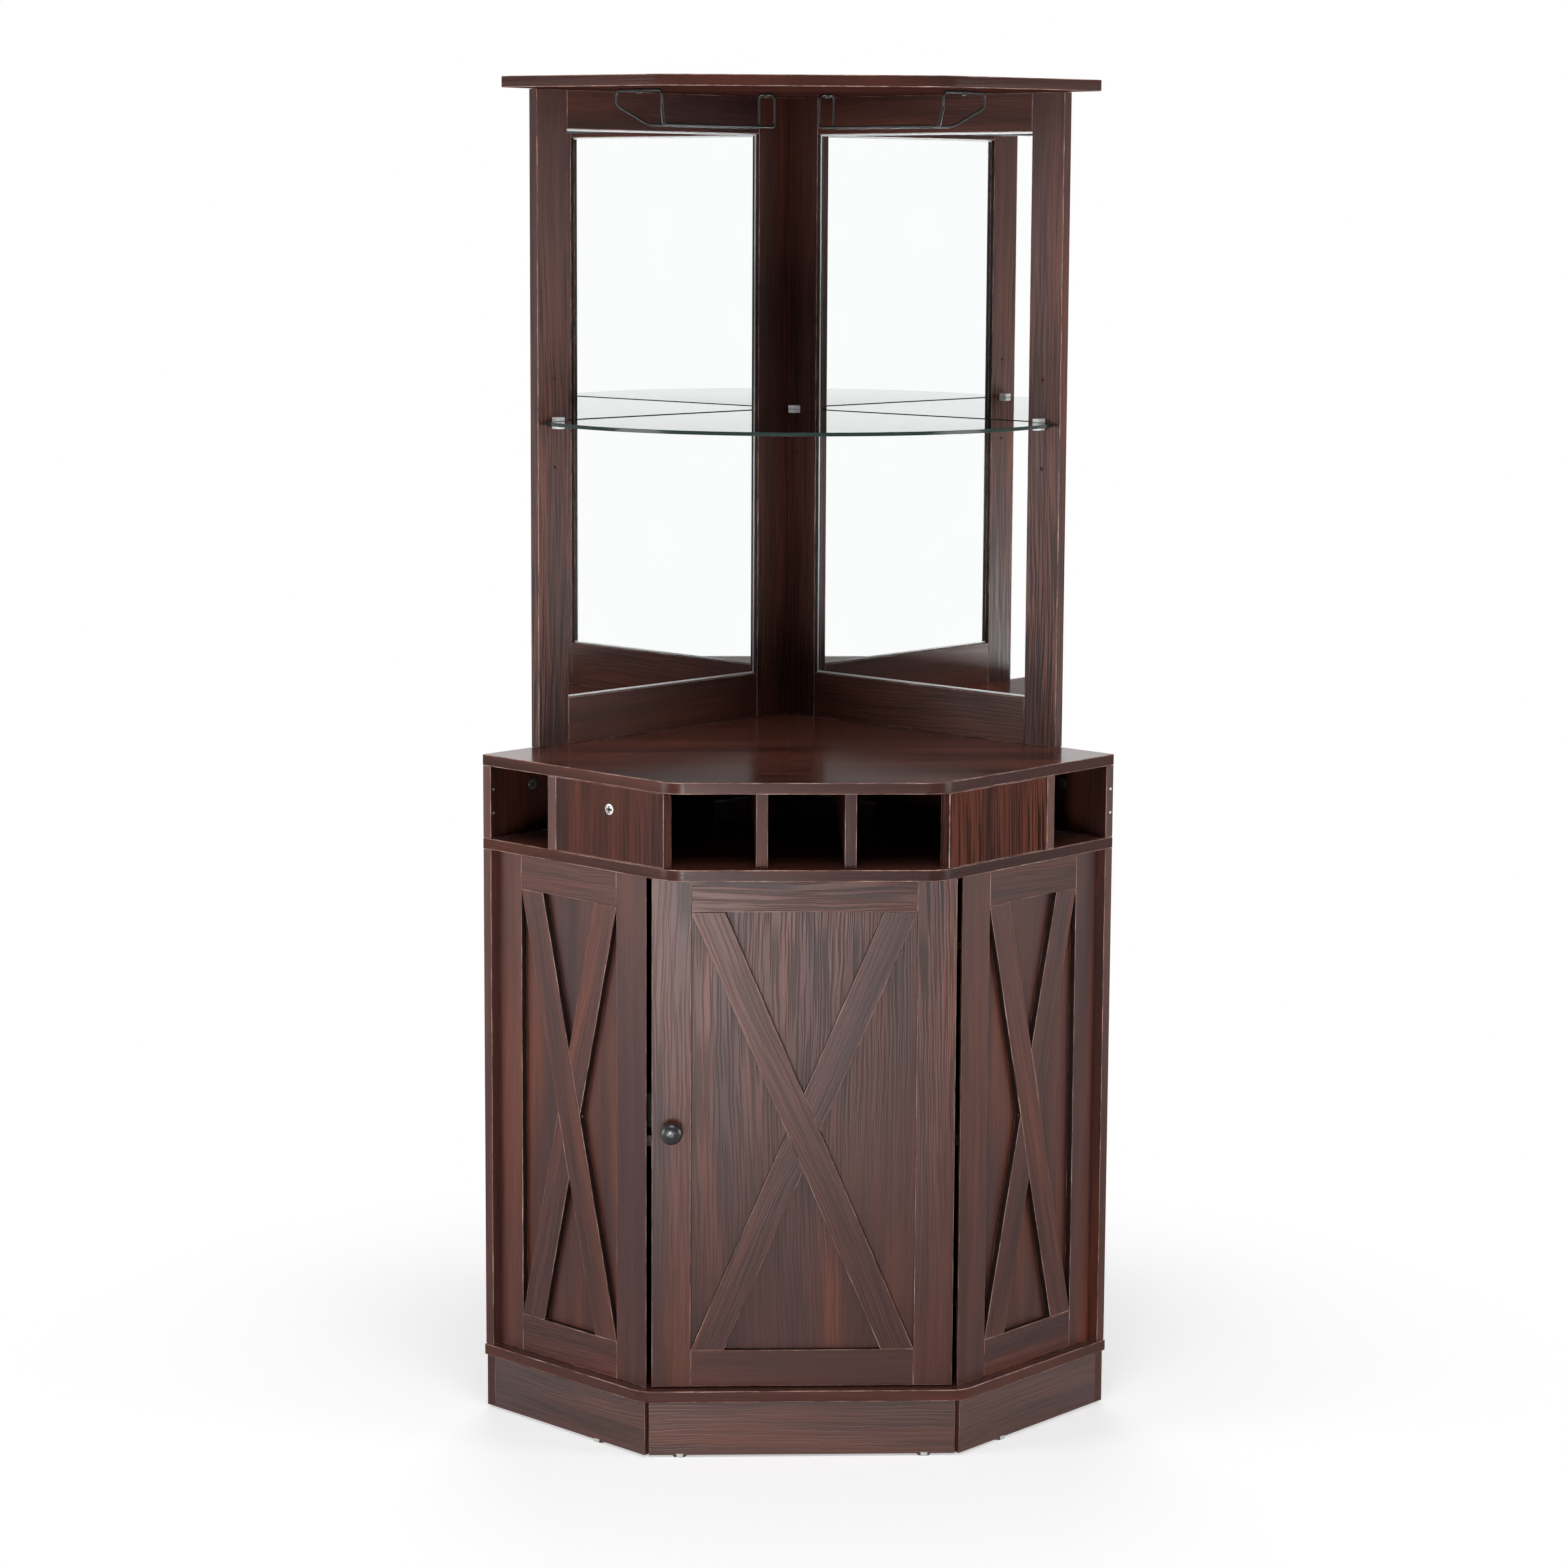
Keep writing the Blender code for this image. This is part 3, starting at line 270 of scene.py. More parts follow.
def laminate(name, polish, gloss, light_and_tone=1.0, warmth=0.0, relief=0.50, fine=0.10, spread=0.20):
    """Dark red-brown wood film: soft figure, warm streaks, smoky bands and pressed pores.

    polish is the roughness, gloss the specular level, relief the strength of the bump, fine the
    contrast of rings and fibre, spread the noise range between the two ends of the figure, and the
    colour factor darkens or lightens the film, mostly to paint in light or shade.
    """
    make = Nodes(name)
    film = make.film()
    bent = make.swayed(film, make.film_noise(film, WARP_WAVES), WARP_REACH)
    wavy = make.swayed(bent, make.film_noise(bent, RIPPLE_WAVES), RIPPLE_REACH)
    figure = make.film_noise(bent, FIGURE_WAVES if fine else CALM_FIGURE_WAVES)
    flame = make.film_noise(bent, FLAME_WAVES)
    smoke = make.film_noise(bent, SMOKE_WAVES)
    rings = make.film_noise(bent, RING_WAVES)
    pores = make.film_noise(wavy, PORE_WAVES)
    fibre = make.film_noise(bent, FIBRE_WAVES)
    pressed = make.film_noise(film, PRESSED_WAVES)

    base = make.ramp(figure, [(0.50 - spread, ESPRESSO_DARK), (0.50, ESPRESSO),
                              (0.50 + spread, ESPRESSO_PALE)])
    flamed = make.spread(flame, 0.50 - warmth, 0.76 - warmth, 0.0, FLAME_SHARE + warmth)
    smoked = make.spread(smoke, 0.46, 0.72, 0.0, SMOKE_SHARE - 2.0 * warmth)
    colour = make.mix(smoked, make.mix(flamed, base, ORANGE), SMOKY)

    chosen = make.add("ShaderNodeSeparateXYZ")
    make.link(make.film("pores"), chosen.inputs[0])
    # Pore contrast follows the share in the pores coordinates: partly painted light
    depth = make.math("MULTIPLY", make.spread(pressed, 0.36, 0.56, 0.45, 1.0), chosen.outputs[0])
    streaks = make.spread(pores, 0.46, 0.60, PORE_PALE, -PORE_DARK)
    pore_shade = make.math("MULTIPLY", streaks, depth)
    ring = RING_TO_FIBRE * fine
    # The colour factor goes in here: painted light and shade on most copies
    ring_shade = make.spread(rings, 0.30, 0.70, (1.0 - ring) * light_and_tone, (1.0 + ring) * light_and_tone)
    fibre_shade = make.spread(fibre, 0.30, 0.70, 1.0 - fine, 1.0 + fine)
    shade = make.math("MULTIPLY", make.math("MULTIPLY", ring_shade, fibre_shade),
                      make.math("ADD", pore_shade, 1.0))
    grey = make.add("ShaderNodeCombineColor")
    for socket in grey.inputs[:3]:
        make.link(shade, socket)
    make.link(make.mix(1.0, colour, grey.outputs[0], "MULTIPLY"), make.shader.inputs["Base Color"])

    make.roughen(pore_shade, polish + 0.05, polish - 0.04, -0.4, 0.4)
    height = make.math("ADD", pore_shade, make.math("MULTIPLY", fibre, 0.10))
    make.bump(height, relief, PORE_DEPTH)
    make.set(Specular_IOR_Level=gloss)
    return make.material


def edge_line():
    """Paler line along the rounded edge of a laminated board: wear of the film and a painted
    highlight.
    """
    make = Nodes("laminate_edge_line")
    wear_and_highlight = make.film_noise(make.film(), WEAR_AND_HIGHLIGHT_WAVES)
    make.paint(wear_and_highlight, [(0.42, (0.085, 0.032, 0.023)), (0.54, (0.300, 0.165, 0.130)),
                      (0.68, (0.600, 0.400, 0.340))])
    make.roughen(wear_and_highlight, 0.32, 0.48)
    make.set(Specular_IOR_Level=0.30)
    return make.material


def stained_edge():
    """Almost black painted shade on the edges that face into a frame's window, and on the sides of
    the braces.
    """
    make = Nodes("stained_edge")
    grain = make.film_noise(make.film(), EDGE_SHADE_WAVES)
    make.paint(grain, [(0.34, (0.0080, 0.0034, 0.0028)), (0.68, (0.0180, 0.0072, 0.0056))])
    make.roughen(grain, 0.62, 0.50)
    make.bump(grain, 0.30, 0.0003)
    make.set(Specular_IOR_Level=0.25)
    return make.material


def hardboard():
    """Brown pressed fibre behind the mirrors."""
    make = Nodes("hardboard")
    place = make.object_place()
    flecks = make.noise(place, detail=5.0, roughness=0.7, scale=260.0)
    cloud = make.noise(place, detail=2.0, scale=7.0)
    colour = make.ramp(flecks, [(0.30, (0.105, 0.060, 0.034)), (0.52, (0.190, 0.115, 0.068)),
                                (0.75, (0.300, 0.205, 0.130))])
    shade = make.ramp(cloud, [(0.30, (0.82, 0.82, 0.82)), (0.70, (1.0, 1.0, 1.0))])
    make.link(make.mix(1.0, colour, shade, "MULTIPLY"), make.shader.inputs["Base Color"])
    make.set(Roughness=0.82)
    make.bump(flecks, 0.35, 0.0004)
    return make.material


def black_paint(name, roughness, coat):
    """Black paint with a faint orange peel and rubbed spots."""
    make = Nodes(name)
    place = make.object_place()
    peel = make.noise(place, detail=2.0, scale=900.0)
    rubbed = make.noise(place, detail=4.0, scale=60.0)
    make.paint(rubbed, [(0.35, (0.0085, 0.0085, 0.0095)), (0.70, (0.019, 0.018, 0.018))])
    make.roughen(rubbed, roughness - 0.06, roughness + 0.08, 0.35, 0.65)
    make.bump(peel, 0.08, 0.0002)
    make.set(Coat_Weight=coat, Coat_Roughness=0.12)
    return make.material


def nickel(name, roughness):
    """Plated pressed steel with fine brushing."""
    make = Nodes(name)
    place = make.object_place()
    brushed = make.noise(make.scaled(place, (300.0, 300.0, 4000.0)), detail=2.0)
    stains = make.noise(place, detail=3.0, scale=45.0)
    make.paint(stains, [(0.30, (0.50, 0.49, 0.47)), (0.70, (0.66, 0.655, 0.64))])
    make.roughen(brushed, roughness, roughness + 0.16)
    make.bump(brushed, 0.10, 0.0001)
    make.set(Metallic=1.0)
    return make.material


def silvered():
    """Mirror with a trace of haze."""
    make = Nodes("silvered_glass")
    haze = make.noise(make.object_place(), detail=4.0, scale=9.0)
    make.roughen(haze, 0.0, 0.025, 0.35, 0.75)
    make.paint(haze, [(0.30, (0.975, 0.985, 0.98)), (0.70, (0.985, 0.99, 0.99))])
    make.set(Metallic=1.0)
    return make.material


def mirror_rim():
    """Ground glass edge of a mirror."""
    make = Nodes("mirror_ground_edge")
    ground = make.noise(make.object_place(), detail=2.0, scale=700.0)
    make.paint(ground, [(0.30, (0.86, 0.89, 0.88)), (0.70, (0.96, 0.97, 0.97))])
    make.roughen(ground, 0.20, 0.40)
    return make.material


def clear_glass():
    """Clear shelf glass; faint smears change its polish."""
    make = Nodes("shelf_glass")
    smear = make.noise(make.scaled(make.object_place(), (14.0, 5.0, 5.0)), detail=4.0)
    make.roughen(smear, 0.0, 0.03, 0.40, 0.80)
    make.paint(smear, [(0.30, (0.66, 0.71, 0.71)), (0.70, (0.71, 0.76, 0.755))])
    make.set(Transmission_Weight=1.0, IOR=1.46)
    return make.material


def glass_edge():
    """Polished glass edge, which looks dark green from the side."""
    make = Nodes("shelf_glass_edge")
    grind = make.noise(make.scaled(make.object_place(), (260.0, 260.0, 900.0)), detail=2.0)
    make.paint(grind, [(0.30, (0.006, 0.014, 0.012)), (0.70, (0.016, 0.034, 0.029))])
    make.roughen(grind, 0.10, 0.22)
    make.set(Specular_IOR_Level=0.2)
    return make.material


def plastic(name, dark, pale, roughness, transmission=0.0, gloss=0.5):
    """Moulded plastic with a fine texture."""
    make = Nodes(name)
    mould = make.noise(make.object_place(), detail=3.0, scale=420.0)
    make.paint(mould, [(0.30, dark), (0.70, pale)])
    make.roughen(mould, roughness - 0.05, roughness + 0.08)
    make.bump(mould, 0.12, 0.0002)
    make.set(Transmission_Weight=transmission, Specular_IOR_Level=gloss)
    return make.material


# One film in several copies: polish and gloss set the sheen, and a colour factor paints in light
# and shade on most copies; the fillers are darker too
WOOD = laminate("espresso_laminate", polish=0.36, gloss=0.32)
TOP_WOOD = laminate("espresso_laminate_top", polish=0.24, gloss=0.40)
# Counter top: colour raised as painted light
COUNTER_WOOD = laminate("espresso_laminate_counter", polish=0.17, gloss=0.15, light_and_tone=1.24,
                        warmth=0.04, relief=0.0, fine=0.0, spread=0.10)
PLINTH_WOOD = laminate("espresso_laminate_plinth", polish=0.34, gloss=0.80)
# Undersides: colour lowered as painted shade
UNDER_WOOD = laminate("espresso_laminate_under", polish=0.60, gloss=0.0, light_and_tone=0.80)
# Rims of the level boards: colour lowered as painted shade
RIM_WOOD = laminate("espresso_laminate_rim", polish=0.26, gloss=0.13, light_and_tone=0.60)
FILLER_WOOD = laminate("espresso_laminate_filler", polish=0.42, gloss=0.08, light_and_tone=0.76)
WARM_WOOD = laminate("espresso_laminate_warm", polish=0.42, gloss=0.04, light_and_tone=0.66, warmth=0.16)
# Outer posts, bottom rails and the base board's rim: colour lowered a little as painted shade
POST_WOOD = laminate("espresso_laminate_post", polish=0.36, gloss=0.24, light_and_tone=0.88)
# Inner posts, top rails and front dividers: colour lowered as painted shade in the corner
CORNER_WOOD = laminate("espresso_laminate_corner", polish=0.40, gloss=0.15, light_and_tone=0.68)
# Inside the cubbies: colour lowered far as painted shade
CUBBY_WOOD = laminate("espresso_laminate_cubby", polish=0.50, gloss=0.06, light_and_tone=0.45)
EDGE = edge_line()
# Almost black painted shade for recessed edges
EDGE_SHADE = stained_edge()
BACKING = hardboard()
KNOB = black_paint("knob_black", roughness=0.26, coat=0.35)
WIRE = black_paint("wire_black", roughness=0.42, coat=0.0)
STEEL = nickel("nickel_steel", roughness=0.20)
SATIN_STEEL = nickel("satin_steel", roughness=0.40)
MIRROR = silvered()
RIM = mirror_rim()
GLASS = clear_glass()
GLASS_EDGE = glass_edge()
CLIP = plastic("clip_plastic", (0.92, 0.93, 0.93), (0.99, 0.99, 0.99), roughness=0.10,
               transmission=0.12)
GLIDE = plastic("glide_plastic", (0.42, 0.42, 0.41), (0.60, 0.60, 0.58), roughness=0.42)
# Lock discs in the cubbies: the dark colour paints in the metal's reflection of the shaded cubby
LOCK = plastic("lock_disc_painted_shade", (0.030, 0.029, 0.028), (0.060, 0.058, 0.056), roughness=0.12)
BLACK_PLASTIC = plastic("catch_plastic", (0.012, 0.012, 0.012), (0.026, 0.026, 0.026),
                        roughness=0.60, gloss=0.15)


# Mesh helpers

SHARP_ANGLE = math.radians(50)
ROUNDED_ANGLE = math.radians(40)
FLAT_ANGLE = math.radians(0.5)
MERGE_REACH = 0.00001
# Share of a face normal along a direction above which the face looks that way
FACING = 0.9
# Material places on a dressed board, the film and its paler edges of wear and painted highlight; a
# painter adds its own after these
FILM, WEAR_AND_HIGHLIGHT = 0, 1


def link_object(name, mesh):
    piece = bpy.data.objects.new(name, mesh)
    bpy.context.scene.collection.objects.link(piece)
    return piece


def settle(piece, body):
    """Smooth shading that keeps flat faces flat, then the body."""
    piece.data.shade_smooth()
    piece.data.set_sharp_from_angle(angle=SHARP_ANGLE)
    keep = piece.modifiers.new("flat_faces", "WEIGHTED_NORMAL")
    keep.keep_sharp = True
    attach(piece, body)


def number_of(name):
    """Steady share from 0 to 1 for each name, so that boards differ."""
    return zlib.crc32(name.encode()) / 0xFFFFFFFF


# Faces narrower than this are board edges, with the grain along them
NARROW = 0.0195
# Least share of the grain that lies in a face; below it the face is end grain
END_GRAIN = 0.35
RIM_RADIUS = 0.4
EDGE_WIDTH = 0.0007
RIM_WIDTH = 0.0010
# Each board's film is cut from its own place on a large sheet
SHEET_WIDTH = 7.0
SHEET_LENGTH = 11.0

# Share of the pores' depth and colour contrast at a low and a high level in metres, by a word in
# the name; higher shares partly paint in light where it grazes the pores
PORE_SHARES = {
    "brace": ((0.55, 0.0), (0.55, 1.0)),
    "door": ((0.25, 0.36), (1.10, 0.60)),
    "filler_right": ((1.80, 0.0), (1.80, 1.0)),
    "filler_left": ((0.50, 0.0), (0.50, 1.0)),
    "outer_post": ((1.70, 0.90), (0.45, 1.78)),
    "inner_post": ((1.20, 0.90), (0.40, 1.78)),
    "rail": ((0.50, 0.0), (0.50, 1.0)),
    "plinth": ((0.60, 0.0), (0.60, 1.0)),
    "counter": ((0.0, 0.0), (0.0, 1.0)),
}
PLAIN_PORE_SHARE = ((0.25, 0.0), (0.25, 1.0))


def pore_share(name, height):
    """How strongly the pores show on a board at a height, in relief and colour, partly as painted
    light; plain boards have shallow ones.
    """
    low, high = next((shares for word, shares in PORE_SHARES.items() if word in name),
                     PLAIN_PORE_SHARE)
    rise = min(max((height - low[1]) / (high[1] - low[1]), 0.0), 1.0)
    return low[0] + (high[0] - low[0]) * rise


def lay_pores(shape, name):
    """Second film coordinates, which hold the depth of the pores."""
    layer = shape.loops.layers.uv.new("pores")
    for face in shape.faces:
        for loop in face.loops:
            loop[layer].uv = (pore_share(name, loop.vert.co.z), 0.0)


def lay_grain(shape, direction, name, rim):
    """Film coordinates in metres: across the grain, then along it; edges run lengthwise."""
    layer = shape.loops.layers.uv.new("grain")
    start = Vector((number_of(name) * SHEET_WIDTH, number_of(name + "_v") * SHEET_LENGTH))
    for face in shape.faces:
        normal = face.normal
        if rim and abs(normal.z) < FACING:
            for loop in face.loops:
                here = loop.vert.co
                loop[layer].uv = (here.z + start.x, math.atan2(here.y, here.x) * RIM_RADIUS)
            continue
        along = direction - normal * direction.dot(normal)
        longest = max(face.edges, key=lambda edge: edge.calc_length())
        edge_way = (longest.verts[1].co - longest.verts[0].co).normalized()
        reach = [vertex.co.dot(normal.cross(edge_way)) for vertex in face.verts]
        if along.length < END_GRAIN or max(reach) - min(reach) < NARROW:
            along = edge_way
        along = along.normalized()
        across = along.cross(normal).normalized()
        # Faces that look different ways get different stretches of film
        turn = number_of(name + str(round(normal.x * 3)) + str(round(normal.y * 3)))
        for loop in face.loops:
            here = loop.vert.co
            loop[layer].uv = (here.dot(across) + start.x + turn, here.dot(along) + start.y)


def soften(shape, width, least=0.003):
    """Round over the edges longer than least; the new faces get the paler edge material, which is
    wear and a painted highlight.
    """
    edges = []
    for edge in shape.edges:
        if len(edge.link_faces) != 2 or edge.calc_length() < least:
            continue
        if edge.calc_face_angle(0.0) > ROUNDED_ANGLE:
            edges.append(edge)
    bmesh.ops.bevel(shape, geom=edges, offset=width, offset_type="OFFSET", segments=2,
                    profile=0.5, affect="EDGES", clamp_overlap=True, material=WEAR_AND_HIGHLIGHT)


def mesh_of(shape, name):
    """The finished mesh of an editable shape."""
    mesh = bpy.data.meshes.new(name)
    shape.to_mesh(mesh)
    shape.free()
    return mesh


def finish_shape(shape, name, grain, width, rim=False):
    bmesh.ops.recalc_face_normals(shape, faces=shape.faces)
    if width:
        soften(shape, width)
    shape.normal_update()
    lay_grain(shape, grain, name, rim)
    lay_pores(shape, name)
    return mesh_of(shape, name)


def body_of(node):
    return next(body for body, nodes in frame["record"]["behaviour"]["bodies"].items()
                if node in nodes)


def shape_of(node):
    """The node's solid as an editable shape with its flat faces joined up."""
    shape = bmesh.new()
    shape.from_mesh(frame["nodes"][node].data)
    bmesh.ops.remove_doubles(shape, verts=shape.verts, dist=MERGE_REACH)
    bmesh.ops.dissolve_limit(shape, angle_limit=FLAT_ANGLE, verts=shape.verts,
                             edges=shape.edges, use_dissolve_boundaries=False)
    return shape


def paint_with(mesh, material, chosen):
    """The film faces that are chosen get one more material."""
    place = len(mesh.materials)
    mesh.materials.append(material)
    for face in mesh.polygons:
        if face.material_index == FILM and chosen(face):
            face.material_index = place


def looking(material, *ways):
    """Painter of the flat faces that look one of some ways."""
    return lambda mesh: paint_with(
        mesh, material, lambda face: any(face.normal.dot(way) > FACING for way in ways))


def dress_board(node, grain, width=EDGE_WIDTH, painters=(), rim=False, wood=WOOD):
    """A finished copy of a board, with softened edges and a wood film."""
    name = node + "_finished"
    piece = link_object(name, finish_shape(shape_of(node), name, grain, width, rim))
    piece.data.materials.append(wood)
    piece.data.materials.append(EDGE)
    for paint in painters:
        paint(piece.data)
    settle(piece, body_of(node))
    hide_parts(node)


def prism_shape(outline, low, high):
    """Upright prism on a plan outline."""
    shape = bmesh.new()
    bottom = [shape.verts.new((x, y, low)) for x, y in outline]
    top = [shape.verts.new((x, y, high)) for x, y in outline]
    shape.faces.new(bottom)
    shape.faces.new(top)
    for index, corner in enumerate(bottom):
        following = (index + 1) % len(bottom)
        shape.faces.new((corner, bottom[following], top[following], top[index]))
    return shape


def strip(name, outline, low, high, grain, body, node, window):
    """One strip of a frame, raised from its plan outline; window points at the panel."""
    shape = prism_shape(outline, low, high)
    piece = link_object(name, finish_shape(shape, name, grain, EDGE_WIDTH))
    piece.data.materials.append(WOOD)
    piece.data.materials.append(EDGE)
    # The edges that face the panel get painted shade
    looking(EDGE_SHADE, window)(piece.data)
    settle(piece, body)
    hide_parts(node)


def turned_shape(profile, start, direction, sides=64):
    """Shape turned about a line; profile gives (radius, distance)."""
    placed = (Matrix.Translation(Vector(start))
              @ Vector(direction).to_track_quat("Z", "X").to_matrix().to_4x4())
    shape = bmesh.new()
    rings = []
    for radius, distance in profile:
        ring = []
        for step in range(sides):
            angle = math.tau * step / sides
            local = Vector((radius * math.cos(angle), radius * math.sin(angle), distance))
            ring.append(shape.verts.new(placed @ local))
        rings.append(ring)
    for lower, upper in zip(rings, rings[1:]):
        for step in range(sides):
            following = (step + 1) % sides
            shape.faces.new((lower[step], lower[following], upper[following], upper[step]))
    shape.faces.new(rings[0])
    shape.faces.new(rings[-1])
    bmesh.ops.recalc_face_normals(shape, faces=shape.faces)
    return shape


def plain_piece(name, shape, material, body):
    """A small piece with one material and no film coordinates."""
    mesh = mesh_of(shape, name)
    mesh.materials.append(material)
    piece = link_object(name, mesh)
    settle(piece, body)
    return piece


def soft_copy(node, materials, width, choose=None, least=0.0015):
    """A copy of a small piece with softened edges; choose gives each face its material."""
    shape = shape_of(node)
    soften(shape, width, least)
    shape.normal_update()
    for face in shape.faces:
        face.material_index = choose(face) if choose else 0
    name = node + "_finished"
    mesh = mesh_of(shape, name)
    for material in materials:
        mesh.materials.append(material)
    piece = link_object(name, mesh)
    settle(piece, body_of(node))
    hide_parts(node)


# Boards

# Glides and shelf pins are fused into the boards; their faces are known by level and area
GLIDE_TOP = 0.00305
GLIDE_FACE_AREA = 0.0004
PIN_LEVEL = 0.3972
PIN_REACH = 0.0030
PIN_FACE_AREA = 0.00002


def small_faces(material, level, reach, area):
    """Painter of the small faces near a level."""
    def paint(mesh):
        place = len(mesh.materials)
        mesh.materials.append(material)
        for face in mesh.polygons:
            if abs(face.center.z - level) < reach and face.area < area:
                face.material_index = place
    return paint


GLIDES = small_faces(GLIDE, 0.0, GLIDE_TOP, GLIDE_FACE_AREA)
PINS = small_faces(STEEL, PIN_LEVEL, PIN_REACH, PIN_FACE_AREA)


def dress_boards():
    for node, wood, top in (("base_board", POST_WOOD, TOP_WOOD),
                            ("shelf_board", RIM_WOOD, TOP_WOOD),
                            ("counter_top", RIM_WOOD, COUNTER_WOOD),
                            ("top_board", RIM_WOOD, TOP_WOOD)):
        # Upward faces get a glossier copy, downward faces a copy darkened as painted shade
        levels = (looking(top, UP), looking(UNDER_WOOD, -UP))
        dress_board(node, ACROSS, RIM_WIDTH, levels, rim=True, wood=wood)
    dress_board("inner_shelf", ACROSS, rim=True)
    dress_board("plinth_front", ACROSS, painters=(GLIDES,), wood=PLINTH_WOOD)
    for side, word in SIDES.items():
        along = wall_along(side)
        inward = wall_inward(side)
        dress_board(f"plinth_{word}", inward, painters=(GLIDES,), wood=PLINTH_WOOD)
        dress_board(f"plinth_wall_{word}", along, painters=(GLIDES,))
        dress_board(f"lower_wall_{word}", UP, painters=(PINS,))
        # The cubbies' inner faces get the copy darkened as painted shade
        dress_board(f"cubby_wall_{word}", UP, painters=(looking(CUBBY_WOOD, inward),))
        dress_board(f"cubby_divider_{word}", UP,
                    painters=(looking(CUBBY_WOOD, inward, -inward),))
        dress_board(f"cubby_filler_{word}", UP, wood=FILLER_WOOD if side == LEFT else WARM_WOOD)
        # Front dividers: copy darkened as painted shade
        dress_board(f"front_divider_{word}", UP, wood=CORNER_WOOD)
        dress_board(f"side_{word}_panel", UP, painters=(PINS,))
        # Posts and rails get copies darkened as painted shade, most in the corner
        for part, grain, window, wood in (
                ("outer_post", UP, -along, POST_WOOD), ("inner_post", UP, along, CORNER_WOOD),
                ("bottom_rail", along, UP, POST_WOOD), ("top_rail", along, -UP, CORNER_WOOD)):
            # Edges facing the mirror window get painted shade
            dress_board(f"hutch_{word}_{part}", grain, painters=(looking(EDGE_SHADE, window),),
                        wood=wood)
    dress_board("door_panel", UP)


END_REACH = 0.001


def brace_way(node):
    """Direction of a brace, from its furthest ends."""
    points = [vertex.co for vertex in frame["nodes"][node].data.vertices]
    low = min(point.z for point in points)
    high = max(point.z for point in points)
    bottom = [point for point in points if point.z < low + END_REACH]
    top = [point for point in points if point.z > high - END_REACH]
    down = sum(bottom, Vector()) / len(bottom)
    up = sum(top, Vector()) / len(top)
    return (up - down).normalized()


def dress_braces():
    fronts = {"side_left": wall_along(LEFT), "side_right": wall_along(RIGHT), "door": -BACKWARD}
    for owner, front in fronts.items():
        for part in ("brace_long", "brace_cross"):
            node = f"{owner}_{part}"
            way = brace_way(node)
            sideways = way.cross(front).normalized()
            # Both sides of a brace get painted shade
            dress_board(node, way, painters=(looking(EDGE_SHADE, sideways, -sideways),))


def dress_door_frame():
    (low_x, low_y, low_z), (high_x, high_y, high_z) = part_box("door_frame")
    inner = high_x - DOOR_STILE

    def plan(left, right):
        return [(left, low_y), (right, low_y), (right, high_y), (left, high_y)]

    gap = STRIP_JOINT
    for word, outline, window in (("left", plan(low_x, -inner), ACROSS),
                                  ("right", plan(inner, high_x), -ACROSS)):
        strip(f"door_stile_{word}", outline, low_z, high_z, UP, "door", "door_frame", window)
    between = plan(-inner + gap, inner - gap)
    strip("door_rail_top", between, WINDOW_HIGH, high_z, ACROSS, "door", "door_frame", -UP)
    strip("door_rail_bottom", between, low_z, WINDOW_LOW, ACROSS, "door", "door_frame", UP)


def dress_side_frames():
    for side, word in SIDES.items():
        node = f"side_{word}_frame"
        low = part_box(node)[0][2]
        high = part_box(node)[1][2]
        face = SIDE_FACE_ALONG
        back = face - OVERLAY
        start = BOARD + FIT_GAP
        end_face = face - HALF_OPENING / DIAGONAL
        end_back = back - HALF_OPENING / DIAGONAL
        first = BOARD + SIDE_WALL_STILE
        second = end_face - SIDE_FRONT_STILE

        def plan(low_in, high_in, high_back=None):
            far = high_in if high_back is None else high_back
            return [wall_xy(side, face, low_in), wall_xy(side, face, high_in),
                    wall_xy(side, back, far), wall_xy(side, back, low_in)]

        gap = STRIP_JOINT
        inward = wall_inward(side)
        strip(f"side_{word}_stile_wall", plan(start, first), low, high, UP, "carcass", node,
              inward)
        strip(f"side_{word}_stile_front", plan(second, end_face, end_back), low, high, UP,
              "carcass", node, -inward)
        between = plan(first + gap, second - gap)
        strip(f"side_{word}_rail_top", between, WINDOW_HIGH, high, inward, "carcass", node, -UP)
        strip(f"side_{word}_rail_bottom", between, low, WINDOW_LOW, inward, "carcass", node, UP)


# Knob, locks and screws

# Turned profiles: shares of the radius and of the height
KNOB_PROFILE = ((0.52, 0.0), (0.54, 0.02), (0.54, 0.06), (0.50, 0.09), (0.40, 0.13),
                (0.36, 0.19), (0.36, 0.30), (0.42, 0.38), (0.62, 0.45), (0.84, 0.51),
                (0.95, 0.57), (1.0, 0.65), (0.99, 0.73), (0.94, 0.81), (0.84, 0.88),
                (0.70, 0.935), (0.52, 0.970), (0.32, 0.992), (0.12, 1.0))
DOMED = ((0.96, 0.0), (1.0, 0.12), (1.0, 0.50), (0.95, 0.78), (0.82, 0.93), (0.60, 0.985),
         (0.20, 1.0))
RINGED = ((0.96, 0.0), (1.0, 0.10), (1.0, 0.96), (0.94, 1.0), (0.76, 1.0), (0.72, 0.90),
          (0.62, 0.90), (0.58, 0.985), (0.30, 1.0))

# Cross recess of a head, as shares of its radius and height
CROSS_LENGTH = 1.1
CROSS_WIDTH = 0.36
CROSS_DEPTH = 0.55
HEAD_SIDES = 40
# Faces of a recess lie below this share of its depth, within this share of its length; they get
# black plastic as painted shade
RECESS_START = 0.25
RECESS_REACH = 0.52


def dress_knob():
    (low_x, low_y, low_z), (high_x, high_y, high_z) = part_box("knob")
    centre = ((low_x + high_x) / 2, high_y, (low_z + high_z) / 2)
    radius = (high_x - low_x) / 2
    reach = high_y - low_y
    profile = [(radius * wide, reach * far) for wide, far in KNOB_PROFILE]
    piece = plain_piece("knob_finished", turned_shape(profile, centre, (0, -1, 0)), KNOB, "door")
    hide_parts("knob")


